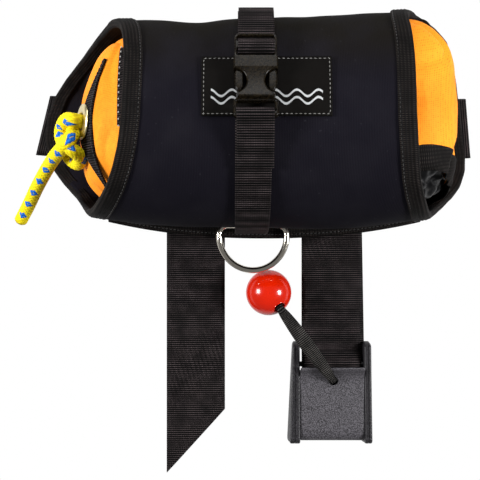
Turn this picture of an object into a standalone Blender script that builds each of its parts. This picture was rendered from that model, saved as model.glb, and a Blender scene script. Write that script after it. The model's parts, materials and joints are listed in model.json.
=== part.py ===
"""Waist throw bag: a rope bag held in a padded wrap, with a waist belt, a clip strap and a quick release.

The object lies on its back. +Z leaves the front of the wrap, +X runs along its barrel and +Y is up when worn.
The origin is on the flat outside face of the belt keeper, the plane that the object rests on.
Lengths are in metres.
"""

import math

import bmesh
import bpy
from mathutils import Matrix, Vector

MM = 0.001
GAP = 0.3 * MM

# The wrap's barrel: a rounded tube along X with bell-shaped ends.
BARREL_Z = 77.5 * MM
BARREL_HALF_Y = 79 * MM
BARREL_HALF_Z = 69 * MM
BARREL_POWER = 2.25
WRAP_THICK = 4 * MM
FRONT_HALF_LENGTH = 95 * MM
LOBE_EXTRA = 88 * MM
LOBE_POWER = 2.37
SEAM_DEG = 127
BINDING_WIDE = 10 * MM
BINDING_THICK = 1.2 * MM

# Webbing.
WEB_THICK = 1.6 * MM
STRAP_HALF = 12.5 * MM
STRAP_X = -9.5 * MM
BELT_HALF = 25 * MM
BELT_Y = 8 * MM
LEG_X = 58 * MM
LEG_Z = 0.85 * MM
RETURN_Z = 3.0 * MM
RUN_Z = 5.2 * MM
BELT_LEFT = -186 * MM
BELT_RIGHT = 168 * MM
TAIL_LONG = -286 * MM
TAIL_SHORT = -231 * MM

# The clip buckle sits in its own tilted frame.
CLIP_CENTRE = Vector((STRAP_X, 24.5 * MM, 151 * MM))
CLIP_TILT = math.radians(13.5)
CLIP_HALF = 16.5 * MM
PASSAGE_HALF = 12.7 * MM
CLIP_BAR = -27 * MM
ARM_HINGE_U = 10.8 * MM
ARM_HINGE_V = 8.1 * MM

# D-ring.
RING_Y = -74 * MM
RING_Z = 38 * MM
RING_HALF = 27.5 * MM
RING_SIDE = 8 * MM
RING_WIRE = 2.5 * MM

# Cam buckle of the waist belt.
CAM_BAR_Y = -192 * MM
CAM_BAR_Z = 5 * MM
CAM_HALF = 33.3 * MM
RAIL_THICK = 4.3 * MM
PIN_Y = -247 * MM
PIN_Z = 9 * MM
LEVER_HALF = 26.8 * MM
CORD_HOLE = Vector((59 * MM, -205 * MM, 11 * MM))
BALL = Vector((4 * MM, -130 * MM, 19 * MM))
BALL_RADIUS = 19 * MM
CORD_RADIUS = 2.2 * MM

# Throw bag.
BAG_HALF_Y = 73.5 * MM
BAG_HALF_Z = 64 * MM
BAG_CLOTH = 1.2 * MM
DOME_X = -92 * MM
DOME_LONG = 49.5 * MM
DOME_POWER = 0.85
MOUTH_X = 92 * MM
MOUTH_LONG = 52 * MM
EYE = Vector((-141.2 * MM, 5 * MM, 72 * MM))
ROPE_RADIUS = 4.75 * MM

COLOURS = {
    "neoprene": (0.010, 0.011, 0.016, 0.75, 0.0),
    "webbing": (0.013, 0.012, 0.011, 0.8, 0.0),
    "orange": (0.95, 0.34, 0.05, 0.7, 0.0),
    "plastic": (0.015, 0.015, 0.016, 0.4, 0.0),
    "steel": (0.72, 0.72, 0.70, 0.2, 1.0),
    "brass": (0.80, 0.66, 0.34, 0.3, 1.0),
    "red": (0.75, 0.02, 0.01, 0.15, 0.0),
    "rope": (0.90, 0.72, 0.03, 0.6, 0.0),
    "foam": (0.60, 0.62, 0.64, 0.9, 0.0),
    "patch": (0.02, 0.02, 0.022, 0.85, 0.0),
}

for leftover in list(bpy.data.objects):
    bpy.data.objects.remove(leftover)

PARTS = bpy.data.collections.new("throw_rope_bag")
CUTTERS = bpy.data.collections.new("cutters")
bpy.context.scene.collection.children.link(PARTS)
bpy.context.scene.collection.children.link(CUTTERS)


def material(kind):
    found = bpy.data.materials.get(kind)
    if found:
        return found
    red, green, blue, rough, metal = COLOURS[kind]
    made = bpy.data.materials.new(kind)
    made.use_nodes = True
    shader = made.node_tree.nodes["Principled BSDF"]
    shader.inputs["Base Color"].default_value = (red, green, blue, 1)
    shader.inputs["Roughness"].default_value = rough
    shader.inputs["Metallic"].default_value = metal
    return made


def add(name, data, kind, parent=None):
    """A part from mesh or curve data, in the parts' collection."""
    obj = bpy.data.objects.new(name, data)
    data.materials.append(material(kind))
    PARTS.objects.link(obj)
    obj.parent = parent
    return obj


def mesh_from(name, shape):
    """A smooth-shaded mesh from a bmesh, with its normals facing out."""
    bmesh.ops.recalc_face_normals(shape, faces=shape.faces)
    mesh = bpy.data.meshes.new(name)
    shape.to_mesh(mesh)
    shape.free()
    mesh.shade_smooth()
    mesh.set_sharp_from_angle(angle=math.radians(40))
    return mesh


def block(low, high, round_by=0.0):
    """A box between two corners, with its edges rounded."""
    shape = bmesh.new()
    bmesh.ops.create_cube(shape, size=1)
    low, high = Vector(low), Vector(high)
    bmesh.ops.scale(shape, vec=high - low, verts=shape.verts)
    bmesh.ops.translate(shape, vec=(low + high) / 2, verts=shape.verts)
    if round_by:
        bmesh.ops.bevel(
            shape, geom=shape.edges[:], offset=round_by, segments=2, affect="EDGES", profile=0.5
        )
    return shape


def rod(start, end, radius, sides=24):
    """A closed cylinder between two points."""
    start, end = Vector(start), Vector(end)
    shape = bmesh.new()
    bmesh.ops.create_cone(
        shape, cap_ends=True, segments=sides, radius1=radius, radius2=radius,
        depth=(end - start).length,
    )
    turn = (end - start).to_track_quat("Z", "Y").to_matrix().to_4x4()
    bmesh.ops.transform(
        shape, matrix=Matrix.Translation((start + end) / 2) @ turn, verts=shape.verts
    )
    return shape


def helper(name, shape, parent=None):
    """A hidden body that a Boolean joins to a part or cuts from it."""
    obj = bpy.data.objects.new(name, mesh_from(name, shape))
    CUTTERS.objects.link(obj)
    obj.parent = parent
    obj.hide_render = True
    obj.display_type = "WIRE"
    return obj


def boolean(obj, shape, operation):
    tag = f"{obj.name}_{operation.lower()}_{len(obj.modifiers)}"
    change = obj.modifiers.new(tag, "BOOLEAN")
    change.operation = operation
    change.solver = "EXACT"
    change.object = helper(tag, shape, obj.parent)


def cut(obj, shape):
    boolean(obj, shape, "DIFFERENCE")


def join(obj, shape):
    boolean(obj, shape, "UNION")


def sheet(name, rows, thick, kind, closed=False):
    """A sheet of one thickness through rows of points, which are its middle surface."""
    shape = bmesh.new()
    grid = [[shape.verts.new(point) for point in row] for row in rows]
    pairs = list(zip(grid, grid[1:]))
    if closed:
        pairs.append((grid[-1], grid[0]))
    for one, two in pairs:
        for a, b, c, d in zip(one, one[1:], two[1:], two):
            shape.faces.new((a, b, c, d))
    obj = add(name, mesh_from(name, shape), kind)
    wall = obj.modifiers.new("wall", "SOLIDIFY")
    wall.thickness = thick
    wall.offset = 0
    wall.use_even_offset = True
    return obj


def wire(name, points, radius, kind, closed=False):
    """A round wire, cord or rope along a path."""
    curve = bpy.data.curves.new(name, "CURVE")
    curve.dimensions = "3D"
    curve.bevel_depth = radius
    curve.bevel_resolution = 2
    curve.use_fill_caps = True
    spline = curve.splines.new("POLY")
    spline.points.add(len(points) - 1)
    for node, point in zip(spline.points, points):
        node.co = (*point, 1)
    spline.use_cyclic_u = closed
    spline.use_smooth = True
    return add(name, curve, kind)


def smooth_path(points, steps):
    """A Catmull-Rom curve through the points."""
    points = [Vector(point) for point in points]
    ends = [2 * points[0] - points[1], *points, 2 * points[-1] - points[-2]]
    path = []
    for a, b, c, d in zip(ends, ends[1:], ends[2:], ends[3:]):
        for step in range(steps):
            t = step / steps
            path.append(
                0.5 * (2 * b + (c - a) * t + (2 * a - 5 * b + 4 * c - d) * t**2
                       + (3 * b - a - 3 * c + d) * t**3)
            )
    return [*path, points[-1]]


def spread(low, high, count):
    return [low + (high - low) * i / (count - 1) for i in range(count)]


def signed_power(value, power):
    return math.copysign(abs(value) ** power, value)


def oval(angle, half_y, half_z, power=BARREL_POWER):
    """(y, z) on a rounded oval; angle 0 is its front, +Z, and 90 degrees its top, +Y."""
    y = half_y * signed_power(math.sin(angle), 2 / power)
    z = half_z * signed_power(math.cos(angle), 2 / power)
    return y, z


def wrap_edge(angle):
    """How far the wrap reaches along X from its middle."""
    return FRONT_HALF_LENGTH + LOBE_EXTRA * ((1 - math.cos(angle)) / 2) ** LOBE_POWER


def wrap_point(x, angle, out):
    """A point at a distance outside the wrap's outer surface."""
    y, z = oval(angle, BARREL_HALF_Y + out, BARREL_HALF_Z + out)
    return Vector((x, y, BARREL_Z + z))


def front_angle(y):
    """The angle at which the front of the wrap has this y."""
    return math.asin(signed_power(y / BARREL_HALF_Y, BARREL_POWER / 2))


def wrap_panel(name, first_deg, last_deg, rows):
    grid = []
    for degrees in spread(first_deg, last_deg, rows):
        angle = math.radians(degrees)
        edge = wrap_edge(angle)
        grid.append([wrap_point(x, angle, -WRAP_THICK / 2) for x in spread(-edge, edge, 7)])
    return sheet(name, grid, WRAP_THICK, "neoprene")


def edge_binding(name, side):
    out = GAP + BINDING_THICK / 2
    grid = []
    for degrees in range(0, 360, 9):
        angle = math.radians(degrees)
        edge = wrap_edge(angle)
        grid.append(
            [wrap_point(side * x, angle, out) for x in spread(edge - BINDING_WIDE, edge, 2)]
        )
    return sheet(name, grid, BINDING_THICK, "webbing", closed=True)


def wrap():
    wrap_panel("wrap_front_panel", -SEAM_DEG + 0.3, SEAM_DEG - 0.3, 29)
    wrap_panel("wrap_back_panel", SEAM_DEG, 360 - SEAM_DEG, 17)
    edge_binding("edge_binding_left", -1)
    edge_binding("edge_binding_right", 1)


def bottom_seam_binding():
    half_long = 110 * MM
    outline = []
    for x in spread(-half_long, half_long, 13):
        outline.append((x, -84.5 * MM + 4 * MM * (x / half_long) ** 2))
    outline += [(half_long, -64.9 * MM), (-half_long, -64.9 * MM)]
    curve = bpy.data.curves.new("bottom_seam_binding", "CURVE")
    curve.dimensions = "2D"
    curve.fill_mode = "BOTH"
    curve.extrude = 2.5 * MM
    spline = curve.splines.new("POLY")
    spline.points.add(len(outline) - 1)
    for node, point in zip(spline.points, outline):
        node.co = (*point, 0, 1)
    spline.use_cyclic_u = True
    obj = add("bottom_seam_binding", curve, "webbing")
    obj.location.z = 30.5 * MM


def label_patch():
    out = GAP + 0.5 * MM
    angles = [front_angle(y) for y in spread(-3 * MM, 37 * MM, 7)]
    grid = [[wrap_point(x, angle, out) for x in spread(-46 * MM, 42 * MM, 2)] for angle in angles]
    sheet("label_patch", grid, 0.8 * MM, "patch")


def clip_point(v, w):
    """(y, z) of a point in the clip buckle's frame: v runs up the strap and w leaves the barrel."""
    y = CLIP_CENTRE.y + v * math.cos(CLIP_TILT) + w * math.sin(CLIP_TILT)
    z = CLIP_CENTRE.z - v * math.sin(CLIP_TILT) + w * math.cos(CLIP_TILT)
    return y, z


def webbing_in_yz(name, path, x_middle, half, thick=WEB_THICK):
    """Webbing whose path lies in the YZ plane and whose width runs along X."""
    rows = [[(x_middle - half, y, z), (x_middle + half, y, z)] for y, z in path]
    return sheet(name, rows, thick, "webbing")


def arc(centre_y, centre_z, radius, first_deg, last_deg, count):
    path = []
    for degrees in spread(first_deg, last_deg, count):
        angle = math.radians(degrees)
        path.append((centre_y + radius * math.cos(angle), centre_z + radius * math.sin(angle)))
    return path


def lower_strap():
    under, over = 2.3 * MM, 4.3 * MM
    first = -math.radians(105)
    lift_off = front_angle(-30 * MM)
    path = [wrap_point(0, angle, under).yz for angle in spread(first, lift_off, 14)]
    bar_y, bar_z = clip_point(CLIP_BAR, 0)
    turn = -math.degrees(CLIP_TILT)
    path += arc(bar_y, bar_z, 4.2 * MM, turn - 75, turn + 115, 11)
    path += [wrap_point(0, angle, over).yz for angle in spread(lift_off, front_angle(-42 * MM), 4)]
    webbing_in_yz("lower_strap", path, STRAP_X, STRAP_HALF)


def upper_strap():
    under, over = 2.6 * MM, 5.2 * MM
    front = front_angle(56 * MM)
    path = [wrap_point(0, angle, under).yz for angle in spread(math.radians(107), front, 14)]
    y, z = wrap_point(0, front, (under + over) / 2).yz
    path.append((y - 2.2 * MM, z + 1.6 * MM))
    path += [wrap_point(0, angle, over).yz for angle in spread(front, math.radians(72), 7)]
    webbing_in_yz("upper_strap", path, STRAP_X, STRAP_HALF)


def clip_frame():
    empty = bpy.data.objects.new("clip_frame", None)
    PARTS.objects.link(empty)
    empty.location = CLIP_CENTRE
    empty.rotation_euler.x = -CLIP_TILT
    return empty


def buckle_female(frame):
    thick = 4.8 * MM
    body = block((-CLIP_HALF, -17 * MM, -thick), (CLIP_HALF, 8 * MM, thick), 1.5 * MM)
    obj = add("buckle_female", mesh_from("buckle_female", body), "plastic", frame)
    loop_low, loop_high = -28.5 * MM, -14 * MM
    join(obj, block((-16 * MM, loop_low, -2.4 * MM), (16 * MM, loop_high, 2.4 * MM), 1 * MM))
    cut(obj, block((-PASSAGE_HALF, -13.5 * MM, -2.95 * MM), (PASSAGE_HALF, 12 * MM, 2.95 * MM)))
    for side in (-1, 1):
        x = side * 16.2 * MM
        cut(obj, rod((x, -5 * MM, -9 * MM), (x, -5 * MM, 9 * MM), 9.5 * MM, 32))
    cut(obj, block((-13.3 * MM, -25.5 * MM, -6 * MM), (13.3 * MM, -18 * MM, 6 * MM)))


def buckle_male(frame):
    thick = 4 * MM
    body = block((-CLIP_HALF, 8.4 * MM, -thick), (CLIP_HALF, 27 * MM, thick), 1.2 * MM)
    obj = add("buckle_male", mesh_from("buckle_male", body), "plastic", frame)
    join(obj, block((-2.8 * MM, -11 * MM, -2.4 * MM), (2.8 * MM, 11 * MM, 2.4 * MM), 0.8 * MM))
    for low, high in ((11.6, 15.2), (18.4, 23.8)):
        cut(obj, block((-13.3 * MM, low * MM, -6 * MM), (13.3 * MM, high * MM, 6 * MM)))


def buckle_arm(name, frame, side):
    """A springy side arm, narrow enough to slide straight out of the receptacle."""
    outline = [
        (9.3, 8.1), (12.3, 8.1), (12.4, 3.2), (12.4, -4),
        (12.2, -8), (11.6, -11), (10.6, -12.7), (9.0, -12.7), (8.0, -10), (8.4, 0),
    ]
    curve = bpy.data.curves.new(name, "CURVE")
    curve.dimensions = "2D"
    curve.fill_mode = "BOTH"
    curve.extrude = 2.4 * MM
    spline = curve.splines.new("POLY")
    spline.points.add(len(outline) - 1)
    for node, (u, v) in zip(spline.points, outline):
        node.co = (side * (u * MM - ARM_HINGE_U), v * MM - ARM_HINGE_V, 0, 1)
    spline.use_cyclic_u = True
    obj = add(name, curve, "plastic", frame)
    obj.location = (side * ARM_HINGE_U, ARM_HINGE_V, 0)


def clip_buckle():
    frame = clip_frame()
    buckle_female(frame)
    buckle_male(frame)
    buckle_arm("buckle_arm_left", frame, -1)
    buckle_arm("buckle_arm_right", frame, 1)


def d_ring():
    points = [(x, 0, 0) for x in spread(-RING_HALF, RING_HALF, 4)]
    for degrees in range(0, 181, 15):
        angle = math.radians(degrees)
        x = RING_HALF * math.cos(angle)
        y = -RING_SIDE - RING_HALF * math.sin(angle)
        points.append((x, y, 0))
    ring = wire("d_ring", points, RING_WIRE, "steel", closed=True)
    ring.location = (STRAP_X, RING_Y, RING_Z)


def d_ring_tab():
    path = [(RING_Y - 4.3 * MM, RING_Z + 6.2 * MM)]
    path += arc(RING_Y, RING_Z, 3.4 * MM, 170, 395, 12)
    path.append((RING_Y + 0.1 * MM, RING_Z + 4.3 * MM))
    webbing_in_yz("d_ring_tab", path, STRAP_X, STRAP_HALF, 1.2 * MM)


def belt_keeper():
    path = [
        (-25.5 * MM, 9.4 * MM), (-24.6 * MM, 3.4 * MM), (-22.4 * MM, 1.2 * MM),
        (38.4 * MM, 1.2 * MM), (40.6 * MM, 3.4 * MM), (41.5 * MM, 12 * MM),
    ]
    webbing_in_yz("belt_keeper", path, 0, 27 * MM, 2.4 * MM)


def belt_side(side, turn_x):
    """Rows from the keeper out along the run, round its end, back, and down the folded leg."""
    low, high = BELT_Y - BELT_HALF, BELT_Y + BELT_HALF

    def across(x, z):
        return [(x, low, z), (x, high, z)]

    rows = [across(x, RUN_Z) for x in spread(side * 30 * MM, turn_x, 4)]
    for x, z in arc(turn_x, (RUN_Z + RETURN_Z) / 2, (RUN_Z - RETURN_Z) / 2, 60, -60, 5):
        rows.append(across(turn_x + side * (x - turn_x), z))
    rows.append(across(turn_x, RETURN_Z))
    inner, outer = side * (LEG_X - BELT_HALF), side * (LEG_X + BELT_HALF)
    rows.append([(inner, low, RETURN_Z), (outer, high, RETURN_Z)])
    bulge = (RETURN_Z - LEG_Z) / 2
    for s, z in arc(0, (RETURN_Z + LEG_Z) / 2, bulge, 60, -60, 5):
        step_x, step_y = -side * s * math.sqrt(0.5), s * math.sqrt(0.5)
        rows.append([(inner + step_x, low + step_y, z), (outer + step_x, high + step_y, z)])
    rows.append([(inner, low, LEG_Z), (outer, high, LEG_Z)])
    return rows, inner, outer


def waist_belt():
    left, left_inner, left_outer = belt_side(-1, BELT_LEFT)
    right, right_inner, right_outer = belt_side(1, BELT_RIGHT)
    left.append([(left_inner, TAIL_SHORT, LEG_Z), (left_outer, TAIL_LONG, LEG_Z)])
    path = [(-182 * MM, LEG_Z)]
    path += arc(CAM_BAR_Y, CAM_BAR_Z, 3.3 * MM, -70, -290, 12)
    path += [(-180 * MM, LEG_Z + 2.6 * MM), (-145 * MM, LEG_Z + 2 * MM)]
    right += [[(right_inner, y, z), (right_outer, y, z)] for y, z in path]
    sheet("waist_belt", [*reversed(left), *right], WEB_THICK, "webbing")


def cam_frame():
    low, high = 0.6 * MM, 15 * MM
    base_low = (LEG_X - CAM_HALF + 2 * MM, -236 * MM, low)
    base_high = (LEG_X + CAM_HALF - 2 * MM, -198 * MM, 2.8 * MM)
    obj = add("cam_frame", mesh_from("cam_frame", block(base_low, base_high)), "plastic")
    for side in (-1, 1):
        near, far = sorted((side * (CAM_HALF - RAIL_THICK), side * CAM_HALF))
        join(obj, block((LEG_X + near, -259 * MM, low), (LEG_X + far, -173 * MM, high), 1.5 * MM))
    reach = CAM_HALF - 2 * MM
    start, end = Vector((LEG_X - reach, CAM_BAR_Y, CAM_BAR_Z)), Vector((LEG_X + reach, CAM_BAR_Y, CAM_BAR_Z))
    join(obj, rod(start, end, 2.2 * MM, 20))
    cut(obj, rod((LEG_X - 40 * MM, PIN_Y, PIN_Z), (LEG_X + 40 * MM, PIN_Y, PIN_Z), 2.3 * MM))


def cam_pin():
    reach = CAM_HALF - 0.2 * MM
    shape = rod((LEG_X - reach, 0, 0), (LEG_X + reach, 0, 0), 1.95 * MM, 20)
    pin = add("cam_pin", mesh_from("cam_pin", shape), "steel")
    pin.location = (0, PIN_Y, PIN_Z)


def cam_lever():
    plate = block((-LEVER_HALF, -9 * MM, 0.4 * MM), (LEVER_HALF, 54 * MM, 4.4 * MM), 1 * MM)
    obj = add("cam_lever", mesh_from("cam_lever", plate), "plastic")
    obj.location = (LEG_X, PIN_Y, PIN_Z)
    hub = LEVER_HALF - 0.5 * MM
    for shape, operation in (
        (rod((-hub, 0, 0), (hub, 0, 0), 4.6 * MM, 28), "UNION"),
        (rod((-40 * MM, 0, 0), (40 * MM, 0, 0), 2.3 * MM), "DIFFERENCE"),
        (rod(CORD_HOLE - obj.location - Vector((0, 0, 9 * MM)),
             CORD_HOLE - obj.location + Vector((0, 0, 9 * MM)), 4.8 * MM), "DIFFERENCE"),
    ):
        bmesh.ops.translate(shape, vec=obj.location, verts=shape.verts)
        boolean(obj, shape, operation)


def pull_cord():
    ball_end = BALL + (CORD_HOLE - BALL).normalized() * 10 * MM
    points = [
        CORD_HOLE - Vector((0, 0, 3.6 * MM)),
        CORD_HOLE,
        CORD_HOLE + Vector((-1 * MM, 1.5 * MM, 5.5 * MM)),
        CORD_HOLE + Vector((-7 * MM, 9.5 * MM, 9 * MM)),
        (CORD_HOLE + BALL) / 2 + Vector((0, 0, 5 * MM)),
        BALL + (CORD_HOLE - BALL).normalized() * 24 * MM,
        ball_end,
    ]
    path = [point - CORD_HOLE for point in smooth_path(points, 3)]
    wire("pull_cord", path, CORD_RADIUS, "webbing").location = CORD_HOLE


def pull_ball():
    shape = bmesh.new()
    bmesh.ops.create_uvsphere(shape, u_segments=24, v_segments=14, radius=BALL_RADIUS)
    ball = add("pull_ball", mesh_from("pull_ball", shape), "red")
    ball.location = BALL
    toward = (CORD_HOLE - BALL).normalized()
    cut(ball, rod(BALL + toward * 8.5 * MM, BALL + toward * 30 * MM, 3.2 * MM, 16))


def bag_ring(x, factor, count=32, grow=0.0):
    """Points around the bag at one place; its centre drifts to the rope eye as the dome closes."""
    ring = []
    for i in range(count):
        y, z = oval(2 * math.pi * i / count, BAG_HALF_Y + grow, BAG_HALF_Z + grow)
        drift = 1 - factor
        if x > 0:
            drift = 0
        ring.append(
            (x, y * factor + EYE.y * drift, BARREL_Z + z * factor + (EYE.z - BARREL_Z) * drift)
        )
    return ring


def mouth_factor(x):
    """How much the bag has closed towards its mouth at x."""
    reach = max(0.0, (x - MOUTH_X) / MOUTH_LONG)
    return (1 - reach**2.4) ** (1 / 2.4)


def bag_body():
    rings = []
    for degrees in (83.2, 76, 66, 55, 43, 30, 16, 0):
        angle = math.radians(degrees)
        x = DOME_X - DOME_LONG * math.sin(angle) ** DOME_POWER
        rings.append(bag_ring(x, math.cos(angle) ** DOME_POWER))
    for x in (-30, 30, 92, 104, 114, 122, 128):
        rings.append(bag_ring(x * MM, mouth_factor(x * MM)))
    rows = [[ring[i] for ring in rings] for i in range(len(rings[0]))]
    sheet("bag_body", rows, BAG_CLOTH, "orange", closed=True)


def bag_end_band():
    """Webbing over the closed end of the bag, pierced by the rope eye."""
    grow = 2 * MM
    rows = []
    for y in spread(-50 * MM, 56 * MM, 15):
        row = []
        for k in spread(-STRAP_HALF, STRAP_HALF, 5):
            factor = 0.5
            for _ in range(8):
                drift = 1 - factor
                across = abs(y - EYE.y * drift) / (BAG_HALF_Y + grow)
                height = EYE.z + k - BARREL_Z - (EYE.z - BARREL_Z) * drift
                across_z = abs(height) / (BAG_HALF_Z + grow)
                factor = (across**BARREL_POWER + across_z**BARREL_POWER) ** (1 / BARREL_POWER)
            close = math.acos(min(0.999, factor ** (1 / DOME_POWER)))
            x = DOME_X - (DOME_LONG + grow) * math.sin(close) ** DOME_POWER
            row.append((x, y, EYE.z + k))
        rows.append(row)
    band = sheet("bag_end_band", rows, WEB_THICK, "webbing")
    cut(band, rod(EYE - Vector((12 * MM, 0, 0)), EYE + Vector((12 * MM, 0, 0)), 8.4 * MM, 28))


def turned(name, profile, kind, location):
    """A ring turned about an axis along X, from (distance along the axis, radius) corners."""
    shape = bmesh.new()
    ends = [shape.verts.new((radius, 0, along)) for along, radius in profile]
    for one, two in zip(ends, ends[1:] + ends[:1]):
        shape.edges.new((two, one))
    mesh = bpy.data.meshes.new(name)
    shape.to_mesh(mesh)
    shape.free()
    obj = add(name, mesh, kind)
    screw = obj.modifiers.new("turn", "SCREW")
    screw.steps = 28
    screw.render_steps = 28
    screw.use_merge_vertices = True
    screw.merge_threshold = 1e-5
    obj.location = location
    obj.rotation_euler.y = math.radians(90)
    return obj


def grommet():
    front = EYE.x - 4.8 * MM
    profile = [(0, 6.2), (0, 12.2), (0.5, 13), (1, 12.6), (1.1, 7.8), (6.8, 7.8), (6.8, 6.2)]
    profile = [(along * MM, radius * MM) for along, radius in profile]
    turned("grommet", profile, "brass", (front, EYE.y, EYE.z))
    ring = [(0, 8.1), (0, 12), (0.9, 12), (0.9, 8.1)]
    ring = [(along * MM, radius * MM) for along, radius in ring]
    turned("grommet_washer", ring, "brass", (EYE.x + 1.7 * MM, EYE.y, EYE.z))


def mouth():
    trim = []
    collar = []
    for i in range(32):
        outer = [bag_ring(x * MM, mouth_factor(128 * MM), grow=-1 * MM)[i] for x in (129, 141)]
        trim.append(outer)
        inner = []
        for x, factor in ((110, 0.78), (118, 0.66), (124, 0.52), (127, 0.44)):
            inner.append(bag_ring(x * MM, factor)[i])
        collar.append(inner)
    sheet("mouth_trim", trim, 1.6 * MM, "webbing", closed=True)
    sheet("mouth_collar", collar, 0.8 * MM, "webbing", closed=True)


LOCK_X = 130 * MM
LOCK_Z = BARREL_Z + 7 * MM


def mouth_drawcord():
    points = []
    for i in range(36):
        y, z = oval(2 * math.pi * i / 36, 26 * MM, LOCK_Z - BARREL_Z)
        points.append((LOCK_X, y, BARREL_Z + z))
    wire("mouth_drawcord", points, 1.4 * MM, "red", closed=True)


def cord_lock():
    low, high = LOCK_Z - 5.5 * MM, LOCK_Z + 13 * MM
    body = rod((LOCK_X, 0, low), (LOCK_X, 0, high), 6 * MM)
    obj = add("cord_lock_body", mesh_from("cord_lock_body", body), "plastic")
    cut(obj, rod((LOCK_X, 0, LOCK_Z + 3 * MM), (LOCK_X, 0, high + 9 * MM), 4.3 * MM))
    cut(obj, rod((LOCK_X, -9 * MM, LOCK_Z), (LOCK_X, 9 * MM, LOCK_Z), 2.1 * MM, 16))
    plunger_low = LOCK_Z + 9.3 * MM
    shape = rod((0, 0, 0), (0, 0, 8.5 * MM), 3.9 * MM)
    plunger = add("cord_lock_plunger", mesh_from("cord_lock_plunger", shape), "plastic")
    plunger.location = (LOCK_X, 0, plunger_low)
    coil = []
    turns, steps = 4, 10
    for i in range(turns * steps + 1):
        angle = 2 * math.pi * i / steps
        z = LOCK_Z + 3.9 * MM + 4.5 * MM * i / (turns * steps)
        coil.append((LOCK_X + 3 * MM * math.cos(angle), 3 * MM * math.sin(angle), z))
    wire("cord_lock_spring", coil, 0.35 * MM, "steel")


def float_foam():
    shape = rod((-128 * MM, EYE.y, EYE.z), (-111 * MM, EYE.y, EYE.z), 42 * MM, 32)
    foam = add("float_foam", mesh_from("float_foam", shape), "foam")
    start, end = Vector((-140 * MM, 6 * MM, EYE.z)), Vector((-90 * MM, 6 * MM, EYE.z))
    cut(foam, rod(start, end, 11 * MM, 20))


def throw_rope():
    """The stowed coil, the lead out through the eye, the stopper turns and the tail."""
    coil = []
    turns, steps = 7, 14
    for i in range(turns * steps):
        angle = 2 * math.pi * i / steps
        x = 95 * MM - 180 * MM * i / (turns * steps)
        coil.append(Vector((x, 46 * MM * math.cos(angle), BARREL_Z + 42 * MM * math.sin(angle))))
    lead = [
        coil[-1], Vector((-96 * MM, 32 * MM, 62 * MM)), Vector((-106 * MM, 9 * MM, EYE.z)),
        Vector((-128 * MM, 5 * MM, EYE.z)), Vector((-148 * MM, 5 * MM, EYE.z)),
        Vector((-155 * MM, 10 * MM, EYE.z)),
    ]
    knot = []
    knot_x, knot_radius, rise = -172 * MM, 8 * MM, 10.8 * MM
    for i in range(31):
        turn = i / 12
        angle = -2 * math.pi * turn
        y = 15 * MM - rise * turn
        knot.append(
            Vector((knot_x + knot_radius * math.cos(angle), y, EYE.z + knot_radius * math.sin(angle)))
        )
    tail = [knot[-1], Vector((-184 * MM, -34 * MM, 64 * MM)), Vector((-198 * MM, -70 * MM, 52 * MM))]
    path = coil[:-1] + smooth_path(lead, 4) + knot[:-1] + smooth_path(tail, 4)
    wire("throw_rope", path, ROPE_RADIUS, "rope")


wrap()
bottom_seam_binding()
label_patch()
lower_strap()
upper_strap()
clip_buckle()
d_ring()
d_ring_tab()
belt_keeper()
waist_belt()
cam_frame()
cam_pin()
cam_lever()
pull_cord()
pull_ball()
bag_body()
bag_end_band()
grommet()
mouth()
mouth_drawcord()
cord_lock()
float_foam()
throw_rope()
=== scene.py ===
"""The waist throw bag's looks: its cloth, webbing, rope, plastic and metal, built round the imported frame."""

import contextlib
import json
import math

import bmesh
import bpy
import numpy as np
from mathutils import Matrix, Vector, noise


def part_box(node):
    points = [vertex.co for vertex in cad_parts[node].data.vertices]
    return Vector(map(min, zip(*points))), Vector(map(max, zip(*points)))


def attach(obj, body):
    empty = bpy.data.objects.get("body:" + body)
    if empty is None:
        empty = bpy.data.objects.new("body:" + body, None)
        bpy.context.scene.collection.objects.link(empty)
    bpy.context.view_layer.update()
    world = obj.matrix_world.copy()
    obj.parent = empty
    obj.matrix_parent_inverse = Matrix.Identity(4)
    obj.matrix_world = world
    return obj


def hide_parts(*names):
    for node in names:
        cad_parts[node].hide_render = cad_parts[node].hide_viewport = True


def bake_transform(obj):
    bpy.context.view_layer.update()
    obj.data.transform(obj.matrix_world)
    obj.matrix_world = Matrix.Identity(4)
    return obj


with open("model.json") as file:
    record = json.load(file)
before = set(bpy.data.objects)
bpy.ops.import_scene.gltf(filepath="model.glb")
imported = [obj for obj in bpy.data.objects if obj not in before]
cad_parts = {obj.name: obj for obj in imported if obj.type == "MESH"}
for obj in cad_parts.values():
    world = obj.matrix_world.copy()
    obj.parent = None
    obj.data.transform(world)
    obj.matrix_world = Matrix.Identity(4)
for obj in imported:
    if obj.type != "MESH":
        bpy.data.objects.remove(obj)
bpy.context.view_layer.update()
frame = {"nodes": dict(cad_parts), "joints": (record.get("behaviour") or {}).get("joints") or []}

# Sizes are in millimetres, and new_object scales each shape to metres.
MM = 0.001
WEAVE = "weave"
JOINTS = {joint["name"]: joint for joint in frame["joints"]}


def box(node):
    """The lowest and the highest corner of a frame node."""
    return [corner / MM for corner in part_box(node)]


def pivot(joint):
    """The point that a joint turns about."""
    return Vector(JOINTS[joint]["pos_m"]) / MM


# The wrap's barrel, as in the frame.
BARREL_Z = 77.5
BARREL_HALF_Z = 69
BARREL_POWER = 2.25
WRAP_THICK = 4
SEAM_DEG = 127
SEAM_HALF_LONG = 128
# The seam tape's root, as a share of the barrel's half height there.
SEAM_ROOT = 0.784
# The wrap's lower edge rises towards its ends by a power of x.
TAPER_X = 134
TAPER_POWER = 2.2
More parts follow.
